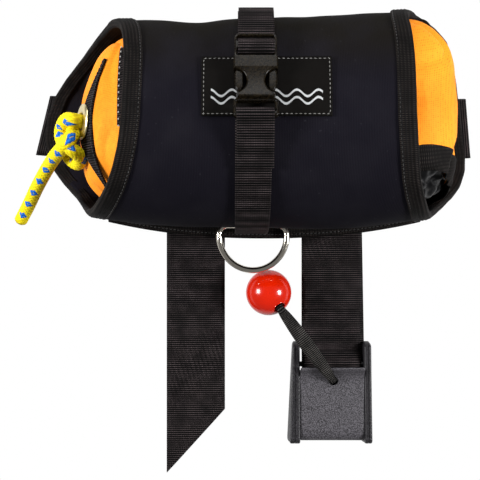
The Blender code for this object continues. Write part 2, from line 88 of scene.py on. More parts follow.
# How far the wrap's open ends reach from its middle: (degrees round the bag from its front, reach).
REACH_LEFT = (
    (-180, 185), (-156, 175), (-127, 150), (-90, 133), (-62, 121), (-40, 109), (-16, 100), (0, 97),
    (28, 96), (45, 99), (62, 103), (90, 118), (127, 145), (156, 175), (180, 185),
)
REACH_RIGHT = (
    (-180, 166), (-168, 169), (-156, 167), (-140, 161), (-127, 151), (-110, 135), (-90, 122), (-60, 111),
    (-35, 101), (0, 96), (65, 97), (90, 109), (105, 130), (120, 147), (150, 159), (180, 166),
)

STRAP_HALF = 12.5
WEB_THICK = 1.6
RIB_PITCH = 2.1
BELT_HALF = 25
LEG_X = 58
LEG_Z = 0.85
FOLD_Z = 1.93
ROPE_RADIUS = 5.1

RING_LOW, RING_HIGH = box("d_ring")
BALL_LOW, BALL_HIGH = box("pull_ball")
CAM_LOW, CAM_HIGH = box("cam_frame")
STRAP_X = sum(corner.x for corner in box("buckle_female")) / 2
BALL_CENTRE = (BALL_LOW + BALL_HIGH) / 2
BALL_RADIUS = (BALL_HIGH.x - BALL_LOW.x) / 2
CORD_HOLE = pivot("pull_ball_lift")
CORD_WAY = (BALL_CENTRE - CORD_HOLE).normalized()
HOLE_OUT = Vector((-CORD_WAY.x * 0.80, -CORD_WAY.y * 0.80, 0.60)).normalized()
BELT_BAR = pivot("cam_buckle_tilt")[1:]
CLIP_HINGE = pivot("clip_arm_right_flex")
CLIP_UP = Vector(JOINTS["clip_release"]["axis"])
CLIP_OUT = Vector(JOINTS["clip_arm_right_flex"]["axis"])
HINGE_UP = 8.1


# ---------------------------------------------------------------- materials

MATERIALS = {}


class Shade:
    """A Principled material, kept in MATERIALS, with short calls for the nodes that feed it."""

    def __init__(self, name, rough, metal=0.0, **inputs):
        MATERIALS[name] = bpy.data.materials.new(name)
        MATERIALS[name].use_nodes = True
        self.tree = MATERIALS[name].node_tree
        self.bsdf = self.tree.nodes["Principled BSDF"]
        self.set("Roughness", rough)
        self.set("Metallic", metal)
        for key, value in inputs.items():
            self.set(key.replace("_", " "), value)
        self.place = self.node("ShaderNodeTexCoord").outputs["Object"]

    def feed(self, socket, value):
        """Gives an input a number or a colour, or links an output to it."""
        if isinstance(value, bpy.types.NodeSocket):
            self.tree.links.new(value, socket)
        else:
            socket.default_value = (*value, 1.0) if isinstance(value, tuple) else value

    def node(self, kind, inputs=(), **settings):
        """A new node, with its inputs fed by name or number."""
        made = self.tree.nodes.new(kind)
        for key, value in settings.items():
            setattr(made, key, value)
        for key, value in dict(inputs).items():
            self.feed(made.inputs[key], value)
        return made

    def set(self, name, value):
        self.feed(self.bsdf.inputs[name], value)

    def colour(self, value):
        self.set("Base Color", value)

    def split(self, vector):
        return self.node("ShaderNodeSeparateXYZ", {0: vector}).outputs

    def math(self, operation, *values):
        return self.node("ShaderNodeMath", enumerate(values), operation=operation).outputs[0]

    def times(self, first, second):
        return self.math("MULTIPLY", first, second)

    def plus(self, first, second):
        return self.math("ADD", first, second)

    def wave(self, distance, period, sharp=1.0):
        """0 to 1 along a distance, once each period; a sharp over 1 narrows the crests."""
        turns = self.times(distance, 2 * math.pi / period)
        level = self.plus(self.times(self.math("SINE", turns), 0.5), 0.5)
        return self.math("POWER", level, sharp)

    def noise(self, scale, detail=3.0):
        inputs = {"Scale": scale, "Detail": detail, "Vector": self.place}
        return self.node("ShaderNodeTexNoise", inputs).outputs["Fac"]

    def mix(self, factor, low, high):
        made = self.node("ShaderNodeMix", {"Factor": factor}, data_type="RGBA")
        colours = [socket for socket in made.inputs if socket.type == "RGBA"]
        self.feed(colours[0], low)
        self.feed(colours[1], high)
        return next(out for out in made.outputs if out.type == "RGBA")

    def ramp(self, factor, low, high):
        """0 below low, 1 above high, smooth between."""
        inputs = {"Value": factor, "From Min": low, "From Max": high}
        return self.node("ShaderNodeMapRange", inputs, interpolation_type="SMOOTHSTEP").outputs["Result"]

    def bump(self, height, distance, strength=1.0):
        inputs = {"Strength": strength, "Distance": distance, "Height": height}
        self.set("Normal", self.node("ShaderNodeBump", inputs).outputs["Normal"])


def scaled(colour, share):
    return tuple(level * share for level in colour)


def neoprene_material():
    shade = Shade("neoprene", 0.8, Specular_IOR_Level=0.05)
    x, y, _ = shade.split(shade.place)
    # Painted light: the wrap's upper (+y) side gets a browner, slightly lighter base colour than the rest, for
    # the light that falls on it.
    high = shade.ramp(y, 0.015, 0.07)
    base = shade.mix(high, (0.0052, 0.0046, 0.0078), (0.0072, 0.0060, 0.0042))
    patchy = shade.ramp(shade.noise(34.0, 4.0), 0.35, 0.75)
    cloth = shade.mix(shade.times(patchy, 0.5), base, (0.0100, 0.0092, 0.0128))
    lint = shade.ramp(shade.noise(420.0, 1.0), 0.74, 0.80)
    shade.colour(shade.mix(shade.times(lint, 0.2), cloth, (0.07, 0.07, 0.08)))
    grain = shade.noise(1500.0, 2.0)
    shade.bump(shade.plus(shade.wave(x, 0.0011), shade.times(grain, 1.4)), 0.00010, 0.6)


def web_material(name, along, across, low, high, rib=1.0, lines=0.4):
    """Ribbed tape or webbing: periods in metres along and across it."""
    shade = Shade(name, 0.7, Specular_IOR_Level=0.08)
    length, width, _ = shade.split(shade.node("ShaderNodeUVMap", uv_map=WEAVE).outputs["UV"])
    ribs = shade.wave(length, along, 5.0)
    yarns = shade.wave(width, across)
    pattern = shade.times(ribs, shade.plus(shade.times(yarns, lines), 1 - lines))
    worn = shade.ramp(shade.noise(90.0), 0.3, 0.7)
    lift = shade.times(pattern, shade.plus(shade.times(worn, 0.6), 0.4))
    # Painted highlight and painted shade: the ribs' crests are lighter and their grooves darker in colour, on
    # top of their bump; the noise named worn only varies how strong this is from place to place.
    shade.colour(shade.mix(lift, low, high))
    shade.bump(pattern, 0.00022 * rib, 0.9)


def orange_material():
    shade = Shade("orange_nylon", 0.7, Specular_IOR_Level=0.12)
    x, y, z = shade.split(shade.place)
    soft = shade.ramp(shade.noise(16.0, 4.0), 0.3, 0.72)
    base = shade.mix(soft, (0.84, 0.25, 0.010), (0.98, 0.34, 0.020))
    warp = shade.wave(shade.plus(y, shade.times(z, 0.6)), 0.0014)
    weft = shade.wave(shade.plus(x, shade.times(z, 0.5)), 0.0014)
    slub = shade.ramp(shade.noise(420.0, 2.0), 0.3, 0.65)
    weave = shade.times(shade.times(warp, weft), slub)
    shade.colour(shade.mix(shade.times(weave, 0.8), base, (0.66, 0.13, 0.004)))
    shade.bump(shade.plus(weave, shade.noise(240.0)), 0.00016, 0.6)


def plastic_material(name, rough, grain_scale, grain_depth, tone, shine):
    """Moulded plastic: a fine grain in colour and height, and faint scuffs in its gloss."""
    shade = Shade(name, rough, Specular_IOR_Level=shine)
    grain = shade.noise(grain_scale, 2.0)
    scuff = shade.ramp(shade.noise(130.0, 5.0), 0.55, 0.8)
    shade.colour(shade.mix(shade.ramp(grain, 0.35, 0.65), scaled(tone, 0.4), scaled(tone, 1.8)))
    shade.set("Roughness", shade.plus(shade.times(scuff, 0.12), rough))
    shade.bump(grain, grain_depth, 0.7)


def metal_material(name, base, rough, streak=0.25):
    shade = Shade(name, rough, 1.0)
    scratches = shade.noise(520.0, 4.0)
    shade.colour(shade.mix(shade.times(scratches, streak), base, scaled(base, 0.6)))
    shade.set("Roughness", shade.plus(shade.times(scratches, 0.10), rough))
    shade.bump(scratches, 0.00003, 0.4)


def ball_material():
    shade = Shade("red_gloss", 0.2, Specular_IOR_Level=0.4, Coat_Weight=0.2, Coat_Roughness=0.1)
    shade.colour(shade.mix(shade.noise(60.0), (0.52, 0.008, 0.0), (0.62, 0.014, 0.0)))
    shade.set("Roughness", shade.plus(shade.times(shade.noise(300.0), 0.14), 0.12))
    shade.bump(shade.noise(180.0), 0.00005, 0.3)


def rope_material():
    """Yellow rope with blue tracers, from the fleck, crown and burnt values that rope_sweep stores."""
    shade = Shade("rope_yarn", 0.6, Specular_IOR_Level=0.12)
    fleck, crown, burnt = (
        shade.node("ShaderNodeAttribute", attribute_name=name).outputs["Fac"]
        for name in ("fleck", "crown", "burnt")
    )
    # Painted shade: crown is low between the strands and high on their tops, so the yellow and the blue are
    # darker between the strands than on them.
    yellow = shade.mix(crown, (0.50, 0.34, 0.001), (0.94, 0.77, 0.006))
    fibre = shade.ramp(shade.noise(900.0, 2.0), 0.35, 0.7)
    yellow = shade.mix(shade.times(fibre, 0.3), yellow, (0.98, 0.86, 0.04))
    blue = shade.mix(crown, (0.004, 0.04, 0.26), (0.008, 0.16, 0.66))
    cloth = shade.mix(shade.ramp(fleck, 0.4, 0.6), yellow, blue)
    shade.colour(shade.mix(burnt, cloth, (0.05, 0.022, 0.008)))
    shade.bump(shade.noise(1600.0, 2.0), 0.00012, 0.7)


def plain_cloth_material(name, low, high, rough):
    """Thin plain-weave nylon."""
    shade = Shade(name, rough, Specular_IOR_Level=0.2)
    x, y, _ = shade.split(shade.place)
    weave = shade.times(shade.wave(x, 0.0008), shade.wave(y, 0.0008))
    shade.colour(shade.mix(shade.noise(40.0, 4.0), low, high))
    shade.bump(weave, 0.00008, 0.5)


def patch_material():
    """The woven label: a generic pair of wave lines on black, broken where the strap crosses them."""
    shade = Shade("woven_patch", 0.8, Specular_IOR_Level=0.08)
    x, y, _ = shade.split(shade.place)
    swell = shade.times(shade.math("SINE", shade.times(x, 2 * math.pi / 0.0145)), 0.0022)
    lines = []
    for level in (0.0125, 0.0075):
        away = shade.math("ABSOLUTE", shade.math("SUBTRACT", shade.math("SUBTRACT", y, swell), level))
        lines.append(shade.math("LESS_THAN", away, 0.0008))
    inside = shade.math("LESS_THAN", shade.math("ABSOLUTE", shade.plus(x, 0.002)), 0.0375)
    beside = shade.math("ABSOLUTE", shade.math("SUBTRACT", x, STRAP_X * MM))
    shown = shade.times(inside, shade.math("GREATER_THAN", beside, STRAP_HALF * MM))
    marks = shade.times(shade.math("MAXIMUM", *lines), shown)
    threads = shade.times(shade.wave(x, 0.0006), shade.wave(y, 0.0006))
    ground = shade.mix(threads, (0.0016, 0.0012, 0.0010), (0.0048, 0.0038, 0.0028))
    ink = shade.mix(threads, (0.36, 0.37, 0.38), (0.62, 0.63, 0.64))
    shade.colour(shade.mix(marks, ground, ink))
    shade.bump(shade.plus(threads, marks), 0.00012, 0.7)


def thread_material(name, colour):
    shade = Shade(name, 0.6, Sheen_Weight=0.2)
    twist = shade.noise(1800.0, 2.0)
    shade.colour(shade.mix(twist, scaled(colour, 0.6), colour))
    shade.bump(twist, 0.00008, 0.6)


# BLACK_LOW is the colour in the ribs' grooves and BLACK_HIGH on their crests: painted shade and painted
# highlight.
BLACK_LOW, BLACK_HIGH = (0.0004, 0.0003, 0.0003), (0.084, 0.066, 0.068)
neoprene_material()
web_material("webbing", 0.0018, 0.0016, BLACK_LOW, BLACK_HIGH)
web_material("binding", 0.0013, 0.0026, BLACK_LOW, (0.055, 0.044, 0.040), 1.0, 0.85)
web_material("cord", 0.0016, 0.0024, (0.001, 0.001, 0.001), (0.15, 0.14, 0.13), 0.8)
orange_material()
plastic_material("clip_plastic", 0.27, 700.0, 0.00004, (0.0056, 0.0040, 0.0020), 0.13)
plastic_material("cam_plastic", 0.40, 1100.0, 0.00030, (0.016, 0.015, 0.017), 0.30)
# The lever's plastic is the buckle's plastic with a tone about three times lighter: painted light for the
# grazing reflection its face catches from the side lamps.
plastic_material("lever_plastic_painted_light", 0.46, 1150.0, 0.00034, (0.052, 0.049, 0.055), 0.30)
metal_material("steel", (0.82, 0.76, 0.66), 0.09)
metal_material("pin_steel", (0.5, 0.5, 0.5), 0.3)
metal_material("brass", (0.86, 0.74, 0.42), 0.24)
ball_material()
rope_material()
plain_cloth_material("collar_nylon", (0.0012, 0.0011, 0.0013), (0.0034, 0.0033, 0.0042), 0.34)
web_material("drawcord", 0.0012, 0.0012, (0.3, 0.006, 0.004), (0.75, 0.03, 0.02))
plain_cloth_material("foam", (0.5, 0.52, 0.54), (0.62, 0.64, 0.66), 0.9)
patch_material()
thread_material("dark_thread", (0.020, 0.019, 0.018))
thread_material("white_thread", (0.22, 0.215, 0.20))
thread_material("dot_thread", (0.60, 0.58, 0.55))


# ---------------------------------------------------------------- building

def put(obj, body, slot, material, *nodes):
    """Rides a finished piece on its body, with its material and the frame nodes that it stands for."""
    finish(obj, material)
    if body:
        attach(obj, body)
    if nodes:
        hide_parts(*nodes)


def finish(obj, material):
    obj.data.materials.clear()
    obj.data.materials.append(MATERIALS[material])


def link(obj):
    bpy.context.scene.collection.objects.link(obj)
    return obj


def new_object(name, data):
    """An object of a mesh or curve that was built in millimetres."""
    data.transform(Matrix.Scale(MM, 4))
    return link(bpy.data.objects.new(f"{name}_detail", data))


def baked(obj):
    """The object's mesh with its modifiers applied."""
    bpy.context.view_layer.update()
    graph = bpy.context.evaluated_depsgraph_get()
    return bpy.data.meshes.new_from_object(obj.evaluated_get(graph))


@contextlib.contextmanager
def editing(mesh):
    """Opens a mesh as a bmesh, and writes it back at the end."""
    shape = bmesh.new()
    shape.from_mesh(mesh)
    yield shape
    shape.to_mesh(mesh)
    shape.free()


def shade_smooth(mesh, angle):
    mesh.shade_smooth()
    mesh.set_sharp_from_angle(angle=math.radians(angle))


def circle(count):
    """Angles in equal steps once round."""
    return np.linspace(0, 2 * math.pi, count, endpoint=False)


def arc(u, v, radius, first_deg, last_deg, count=6):
    """Points round a centre (u, v)."""
    turns = [math.radians(a) for a in np.linspace(first_deg, last_deg, count)]
    return [(u + radius * math.cos(t), v + radius * math.sin(t)) for t in turns]


def distances(points):
    """How far along a path each of its points is."""
    return np.concatenate([[0], np.linalg.norm(np.diff(points, axis=0), axis=1).cumsum()])


def grid(name, points, closed_rows=False, closed_cols=False):
    """A sheet through points[row][column], with a UV of distances along the rows and columns."""
    points = np.asarray(points, float)
    rows, cols = points.shape[:2]
    index = np.arange(rows * cols).reshape(rows, cols)
    row_steps = np.arange(rows if closed_rows else rows - 1)
    col_steps = np.arange(cols if closed_cols else cols - 1)
    r, c = (part.ravel() for part in np.meshgrid(row_steps, col_steps, indexing="ij"))
    r2, c2 = (r + 1) % rows, (c + 1) % cols
    faces = np.stack([index[r, c], index[r, c2], index[r2, c2], index[r2, c]], axis=1)
    mesh = bpy.data.meshes.new(name)
    mesh.from_pydata(points.reshape(-1, 3).tolist(), [], faces.tolist())
    along, across = distances(points[:, cols // 2]), distances(points[rows // 2])
    along = np.append(along, 2 * along[-1] - along[-2])
    across = np.append(across, 2 * across[-1] - across[-2])
    uv = np.empty((len(faces), 4, 2))
    for corner, (row, col) in enumerate(((r, c), (r, c + 1), (r + 1, c + 1), (r + 1, c))):
        uv[:, corner, 0] = along[row]
        uv[:, corner, 1] = across[col]
    mesh.uv_layers.new(name=WEAVE).data.foreach_set("uv", uv.ravel() * MM)
    mesh.shade_smooth()
    return new_object(name, mesh)


def solidify(obj, thick, offset=0.0):
    wall = obj.modifiers.new("wall", "SOLIDIFY")
    wall.thickness = thick * MM
    wall.offset = offset


def resample(points, step):
    """Points along a path, one each step, in straight lines between the given ones."""
    points = np.asarray(points, float)
    length = distances(points.reshape(len(points), -1, 3).mean(1))
    count = max(2, int(round(length[-1] / step)) + 1)
    wanted = np.linspace(0, length[-1], count)
    found = np.stack([np.interp(wanted, length, part) for part in points.reshape(len(points), -1).T], axis=1)
    return found.reshape((count,) + points.shape[1:])


def curve_through(points, steps=12):
    """A Catmull-Rom curve."""
    points = np.asarray([tuple(p) for p in points], float)
    ends = np.vstack([2 * points[0] - points[1], points, 2 * points[-1] - points[-2]])
    t = (np.arange(steps) / steps)[:, None]
    path = []
    for a, b, c, d in zip(ends, ends[1:], ends[2:], ends[3:]):
        bend = (2 * a - 5 * b + 4 * c - d) * t**2 + (3 * b - a - 3 * c + d) * t**3
        path.extend(0.5 * (2 * b + (c - a) * t + bend))
    return np.array([*path, points[-1]])


def webbing(name, edges, columns=14, step=0.5, rib=0.10, upright=None):
    """Webbing between two edge paths, edges[i] = (left, right), with woven ribs across it.

    Where upright(points) is true, the ribs run level instead of from edge to edge.
    """
    edges = resample(edges, step)
    share = np.linspace(0, 1, columns)[None, :, None]
    points = edges[:, :1] * (1 - share) + edges[:, 1:] * share
    normal = np.cross(np.gradient(points, axis=1), np.gradient(points, axis=0))
    normal /= np.linalg.norm(normal, axis=2, keepdims=True) + 1e-12
    travelled = np.repeat(np.arange(len(points))[:, None] * step, columns, axis=1)
    if upright:
        travelled = np.where(upright(points), -points[:, :, 1], travelled)
    wave = np.sin(2 * math.pi * travelled / RIB_PITCH)[:, :, None]
    selvage = np.clip(np.minimum(share, 1 - share) * 2 / 0.08, 0, 1)
    obj = grid(name, points + normal * rib * wave * selvage)
    if upright:
        level_weave(obj.data, upright)
    solidify(obj, WEB_THICK)
    return obj


def level_weave(mesh, upright):
    """Turns the weave's UV level on the faces where upright is true."""
    layer = mesh.uv_layers[WEAVE].data
    for polygon in mesh.polygons:
        if upright(np.array(polygon.center) / MM):
            for loop in polygon.loop_indices:
                x, y, _ = mesh.vertices[mesh.loops[loop].vertex_index].co
                layer[loop].uv = (-y, x)


def strap_edges(path, x_middle, half=STRAP_HALF, lean=0.0):
    """Edge pairs of a strap whose path is (y, z) points and whose width runs along X."""
    pairs = []
    for i, (y, z) in enumerate(path):
        x = x_middle + lean * i / (len(path) - 1)
        pairs.append(((x - half, y, z), (x + half, y, z)))
    return pairs


def tube_frames(path):
    """Tangents and steady side vectors along a path."""
    tangents = np.gradient(path, axis=0)
    tangents /= np.linalg.norm(tangents, axis=1, keepdims=True) + 1e-12
    side = np.cross(tangents[0], (0.0, 0.0, 1.0))
    if np.linalg.norm(side) < 0.1:
        side = np.cross(tangents[0], (0.0, 1.0, 0.0))
    sides = []
    for tangent in tangents:
        side = side - tangent * np.dot(side, tangent)
        side /= np.linalg.norm(side)
        sides.append(side)
    sides = np.array(sides)
    return tangents, sides, np.cross(tangents, sides)


def close_ends(obj, chosen=lambda point: True):
    """Fills a tube's open ends, or those at chosen points."""
    with editing(obj.data) as shape:
        rim = [edge for edge in shape.edges if edge.is_boundary and chosen(edge.verts[0].co / MM)]
        bmesh.ops.holes_fill(shape, edges=rim, sides=0)


def closed_tube(name, rows):
    obj = grid(name, rows, closed_cols=True)
    close_ends(obj)
    return obj


def facing(place, out):
    """Turns Z to a direction and moves it to a place."""
    return Matrix.Translation(place) @ out.to_track_quat("Z", "Y").to_matrix().to_4x4()


def sew(name, points, body, slot, thread, pitch=3.1, length=2.1, radius=0.32):
    """A row of stitches along a path: short threads, each a small capsule."""
    marks = resample(points, pitch)
    forward = np.gradient(marks, axis=0)
    forward /= np.linalg.norm(forward, axis=1, keepdims=True)
    half = forward * length / 2
    mesh = bpy.data.meshes.new(name)
    with editing(mesh) as shape:
        for start, end in zip(marks - half, marks + half):
            start, end = Vector(start), Vector(end)
            verts = bmesh.ops.create_icosphere(shape, subdivisions=1, radius=1)["verts"]
            bmesh.ops.scale(shape, vec=(radius, radius, (end - start).length / 2), verts=verts)
            bmesh.ops.transform(shape, matrix=facing((start + end) / 2, end - start), verts=verts)
    mesh.shade_smooth()
    put(new_object(name, mesh), body, slot, thread)


def outline_plate(name, outlines, thick, bevel):
    """A flat plate in the clip's frame, from outlines (the first outside, the rest holes)."""
    curve = bpy.data.curves.new(name, "CURVE")
    curve.dimensions = "2D"
    curve.fill_mode = "BOTH"
    curve.extrude = thick / 2 - bevel
    curve.bevel_depth = bevel
    curve.bevel_resolution = 3
    curve.offset = -bevel
    for outline in outlines:
        add_loop(curve, [(u, v, 0) for u, v in outline])
    holder = link(bpy.data.objects.new(name + "_curve", curve))
    mesh = baked(holder)
    bpy.data.objects.remove(holder)
    with editing(mesh) as shape:
        bmesh.ops.remove_doubles(shape, verts=shape.verts, dist=1e-3)
        bmesh.ops.transform(shape, matrix=clip_matrix(), verts=shape.verts)
    shade_smooth(mesh, 35)
    return new_object(name, mesh)


def add_loop(curve, points):
    """A closed run of straight steps in a curve."""
    spline = curve.splines.new("POLY")
    spline.points.add(len(points) - 1)
    for node, point in zip(spline.points, points):
        node.co = (*point, 1)
    spline.use_cyclic_u = True
    return spline


def carve(obj, primitive, matrix, **sizes):
    """Cuts a bmesh primitive out of a closed mesh for good."""
    mesh = bpy.data.meshes.new("cutter")
    with editing(mesh) as shape:
        primitive(shape, matrix=matrix, **sizes)
    cutter = new_object("cutter", mesh)
    cut = obj.modifiers.new("cut", "BOOLEAN")
    cut.operation = "DIFFERENCE"
    cut.object = cutter
    obj.data = baked(obj)
    obj.modifiers.clear()
    bpy.data.objects.remove(cutter)
    shade_smooth(obj.data, 38)


# ---------------------------------------------------------------- the wrap

def clamp(value, low=0.0, high=1.0):
    return max(low, min(high, value))


def signed_power(value, power):
    return math.copysign(abs(value) ** power, value)


def ripple(point, scale, depth):
    return noise.noise(Vector(point) * scale * MM) * depth


def half_height(x, upper):
    """How far the wrap's surface stands from the bag's axis, at its top or its bottom side."""
    if upper:
        dip = 2.6 * math.exp(-(((x + 52) / 18) ** 2))
        return 79 + 5.5 * clamp(x / 100) + 1.5 * clamp(x / 60, -1, 0) - dip
    hollow = 2.4 * math.exp(-(((x + 8) / 45) ** 2))
    return 79 - hollow - 12 * (min(abs(x), 150) / TAPER_X) ** TAPER_POWER


def wrap_edge(angle, side):
    """How far the wrap reaches along the bag at an angle: short over its front, long behind it."""
    degrees = (math.degrees(angle) + 180) % 360 - 180
    marks, reach = zip(*(REACH_RIGHT if side > 0 else REACH_LEFT))
    total = 0.0
    for shift, weight in ((-12, 0.25), (0, 0.5), (12, 0.25)):
        at = (degrees + shift + 180) % 360 - 180
        total += weight * float(np.interp(at, marks, reach))
    return total


def wrap_point(x, angle, out=0.0):
    """A point at a distance outside the wrap's surface; angle 0 is its front and 90 degrees its top."""
    s, c = math.sin(angle), math.cos(angle)
    across = (half_height(x, s > 0) + out) * signed_power(s, 2 / BARREL_POWER)
    height = (BARREL_HALF_Z + out) * signed_power(c, 2 / BARREL_POWER)
    return np.array((x, across, BARREL_Z + height))


def front_point(x, y, out):
    """The wrap_point over a given x and y."""
    share = clamp(abs(y) / half_height(x, y > 0))
    return wrap_point(x, math.copysign(math.asin(share ** (BARREL_POWER / 2)), y), out)


def panel(label, first_deg, last_deg, rows, columns):
    """Neoprene between two angles round the bag: softly uneven, and wavier out at its free ends."""
    points = []
    for degrees in np.linspace(first_deg, last_deg, rows):
        angle = math.radians(degrees)
        row = []
        for x in np.linspace(-wrap_edge(angle, -1), wrap_edge(angle, 1), columns):
            base = wrap_point(x, angle)
            out = ripple(base, 18, 1.1) + ripple(base, 50, 0.45) - WRAP_THICK / 2
            slack = min(1.0, max(0.0, abs(x) - 100) / 30)
            out += slack * (ripple(base, 34, 2.6) + ripple(base, 80, 0.9))
            row.append(wrap_point(x, angle, out))
        points.append(row)
    obj = grid(f"wrap_{label}", points)
    solidify(obj, WRAP_THICK)
    put(obj, "wrap", "neoprene", "neoprene", f"wrap_{label}_panel")


def edge_binding(side, label):
    """Tape folded over one open end, ribbed along its length, with a row of stitches."""
    profile = [(away, 0.75 + 0.45 * abs(math.sin(math.pi * away / 2.6))) for away in np.linspace(10.5, 0, 27)]
    profile += [(-0.9 - 1.4 * s, -2 + 2.75 * c) for c, s in arc(0, 0, 1, 10, 170, 9)]
    profile += [(away, -4.75) for away in np.linspace(0, 9, 8)]
    rows, thread = [], []
    for degrees in np.arange(0, 360, 1.5):
        angle = math.radians(degrees)
        edge = wrap_edge(angle, side)
        lift = ripple((edge, angle * 50, side * 1000), 30, 0.5)
        rows.append([wrap_point(side * (edge - away), angle, out + lift) for away, out in profile])
        thread.append(wrap_point(side * (edge - 9.2), angle, 1.5))
    obj = grid(f"edge_binding_{label}", rows, closed_rows=True)
    solidify(obj, 0.9)
    put(obj, "wrap", "binding", "binding", f"edge_binding_{label}")
    sew(f"binding_stitches_{label}", thread, "wrap", "binding", "dark_thread", 3.0, 2.0, 0.3)


def seam_edge(x):
    """Y of the bottom seam's free edge, and how far its tape rises there."""
    return -84.8 + 15 * (abs(x) / TAPER_X) ** TAPER_POWER, ripple((x, 0, 0), 25, 1.2)


def seam_flange():
    """The bound seam along the lower edge: a rounded tape folded over both panels."""
    rows, thread = [], []
    for x in np.linspace(-SEAM_HALF_LONG, SEAM_HALF_LONG, 260):
        outer, rise = seam_edge(x)
        root = -half_height(x, False) * SEAM_ROOT + 3
        middle, reach = (outer + root) / 2, (root - outer) / 2
        row = []
        for a in circle(28):
            y = middle + reach * signed_power(math.cos(a), 0.7)
            row.append((x, y, 30.5 + rise + 2.7 * signed_power(math.sin(a), 0.8)))
        rows.append(row)
    obj = closed_tube("bottom_seam_binding", rows)
    put(obj, "wrap", "binding", "binding", "bottom_seam_binding")
    for x in np.linspace(4 - SEAM_HALF_LONG, SEAM_HALF_LONG - 4, 80):
        outer, rise = seam_edge(x)
        thread.append((x, outer + 3.2, 33.2 + rise))
    sew("seam_stitches", thread, "wrap", "binding", "dark_thread", 3.2, 2.2)


def label():
    """The patch on the front, and the stitches round its border."""
    low, high = box("label_patch")
    out = 1.4
    rows = []
    for y in np.linspace(low.y, high.y, 30):
        rows.append([front_point(x, y, out) for x in np.linspace(low.x, high.x, 50)])
    obj = grid("label_patch", rows)
    solidify(obj, 0.9)
    put(obj, "wrap", "patch", "woven_patch", "label_patch")
    inset = Vector((1.6, 1.6, 0))
    low, high = low + inset, high - inset
    corners = [(low.x, low.y), (high.x, low.y), (high.x, high.y), (low.x, high.y), (low.x, low.y)]
    border = []
    for (x0, y0), (x1, y1) in zip(corners, corners[1:]):
        for t in np.linspace(0, 1, 24, endpoint=False):
            border.append(front_point(x0 + (x1 - x0) * t, y0 + (y1 - y0) * t, out + 0.6))
    sew("label_stitches", [*border, border[0]], "wrap", "patch", "white_thread", 3.1, 2.0, 0.30)


# ---------------------------------------------------------------- straps

def clip_point(v, w):
    """(y, z) of a point in the clip's frame: v up the strap, w out from the wrap."""
    return (CLIP_HINGE + CLIP_UP * (v - HINGE_UP) + CLIP_OUT * w)[1:]


def lower_strap():
    """From the bottom seam up to the clip's receptacle, round its bar and back as a doubled end."""
    path = [(-79.5, 44), (-80.2, 50), (-80.6, 58), (-80.4, 66)]
    path += [tuple(front_point(0, y, 2.6)[1:]) for y in (-75, -70, -62, -52, -42, -32)]
    path += [(-20, 149.6)] + arc(*clip_point(-29.2, 0), 4.2, -95, 80, 14)
    path += [(-13, 156.6), (-22, 152.2)]
    path += [tuple(front_point(0, y, 4.9)[1:]) for y in (-29, -35)]
    obj = webbing("lower_strap", strap_edges(path, STRAP_X - 2, STRAP_HALF, 2))
    put(obj, "wrap", "webbing", "webbing", "lower_strap")
    y = -26
    z = front_point(0, y, 6.2)[2] + 0.3
    bar_tack = [(STRAP_X - 10.5, y, z), (STRAP_X + 10.5, y, z)]
    sew("strap_stitches", bar_tack, "wrap", "webbing", "dark_thread", 2.5, 1.7)


def upper_strap():
    """From the back seam over the top to the sliding half of the clip, round its bar and back as a tail."""
    path = [tuple(wrap_point(STRAP_X, math.radians(a), 1.0)[1:]) for a in range(108, 70, -6)]
    path += [(75, 119), (69.5, 128.5), (61.5, 135.6)]
    under = ((31, -3.6), (24, -3.5), (18.5, -3.3), (15.6, -1.8), (15.0, 0.4), (16.2, 2.6))
    over = ((18.6, 3.4), (21.4, 3.3), (24.0, 1.8), (25.8, -0.4), (28.4, -1.5), (33, -1.3))
    path += [clip_point(v, w) for v, w in (*under, *over)]
    path += [(63, 138.8), (71.5, 131.6), (76.8, 121.3)]
    path += [tuple(wrap_point(STRAP_X, math.radians(a), 2.5)[1:]) for a in range(72, 98, 6)]
    path = curve_through([(0, *point) for point in path], 7)[:, 1:]
    edges = []
    for left, right in strap_edges(path, STRAP_X, STRAP_HALF - 0.3, 0.8):
        tuck = 1.4 * clamp((left[1] - 78) / 3.5) ** 2
        edges.append(((left[0] + tuck, *left[1:]), (right[0] - tuck, *right[1:])))
    obj = webbing("upper_strap", edges)
    put(obj, None, "webbing", "webbing", "upper_strap")
    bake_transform(obj)


def ring_tab():
    """Webbing folded round the D-ring's straight side."""
    low, high = box("d_ring_tab")
    y, z = pivot("ring_swing")[1:]
    path = [(y + 1.4, z + 5.6), *arc(y, z, 3.6, 50, -160, 18), (y - 4.6, z + 5.4)]
    obj = webbing("d_ring_tab", strap_edges(path, (low.x + high.x) / 2), rib=0.06)
    put(obj, "wrap", "webbing", "webbing", "d_ring_tab")


def belt_side(side):
    """Edge pairs of one half of the belt: from the keeper out, round its end, and back to the leg's fold."""
    low, high = box("waist_belt")
    reach, tilt, shift = (high.x + 4.5, 2, 1) if side > 0 else (-low.x, 6, 3.5)
    bottom, top = -17, 33
    run_z, return_z = 5.2, 3.0
    start, turn = side * 10, side * 150
    inner, outer = side * (LEG_X - BELT_HALF), side * (LEG_X + BELT_HALF)
    rows = [((start, bottom, run_z), (start, top, run_z))]
    for out, z in arc(reach - 3, 6, 2.6, 70, -90, 10):
        rows.append(((side * (out + tilt), bottom + shift, z), (side * (out - tilt), top + shift, z)))
    for low_x, high_x in ((turn, turn), (inner, outer)):
        rows.append(((low_x, bottom, return_z), (high_x, top, return_z)))
    for out, z in arc(0, FOLD_Z, 1.08, 60, -60, 7):
        step = out * math.sqrt(0.5)
        rows.append(((inner - side * step, bottom + step, z), (outer - side * step, top + step, z)))
    rows.append(((inner, bottom, LEG_Z), (outer, top, LEG_Z)))
    return rows, inner, outer


def on_leg(points):
    """True on the belt's two hanging legs, below its folds."""
    return (points[..., 2] < FOLD_Z) | (points[..., 1] < -25)


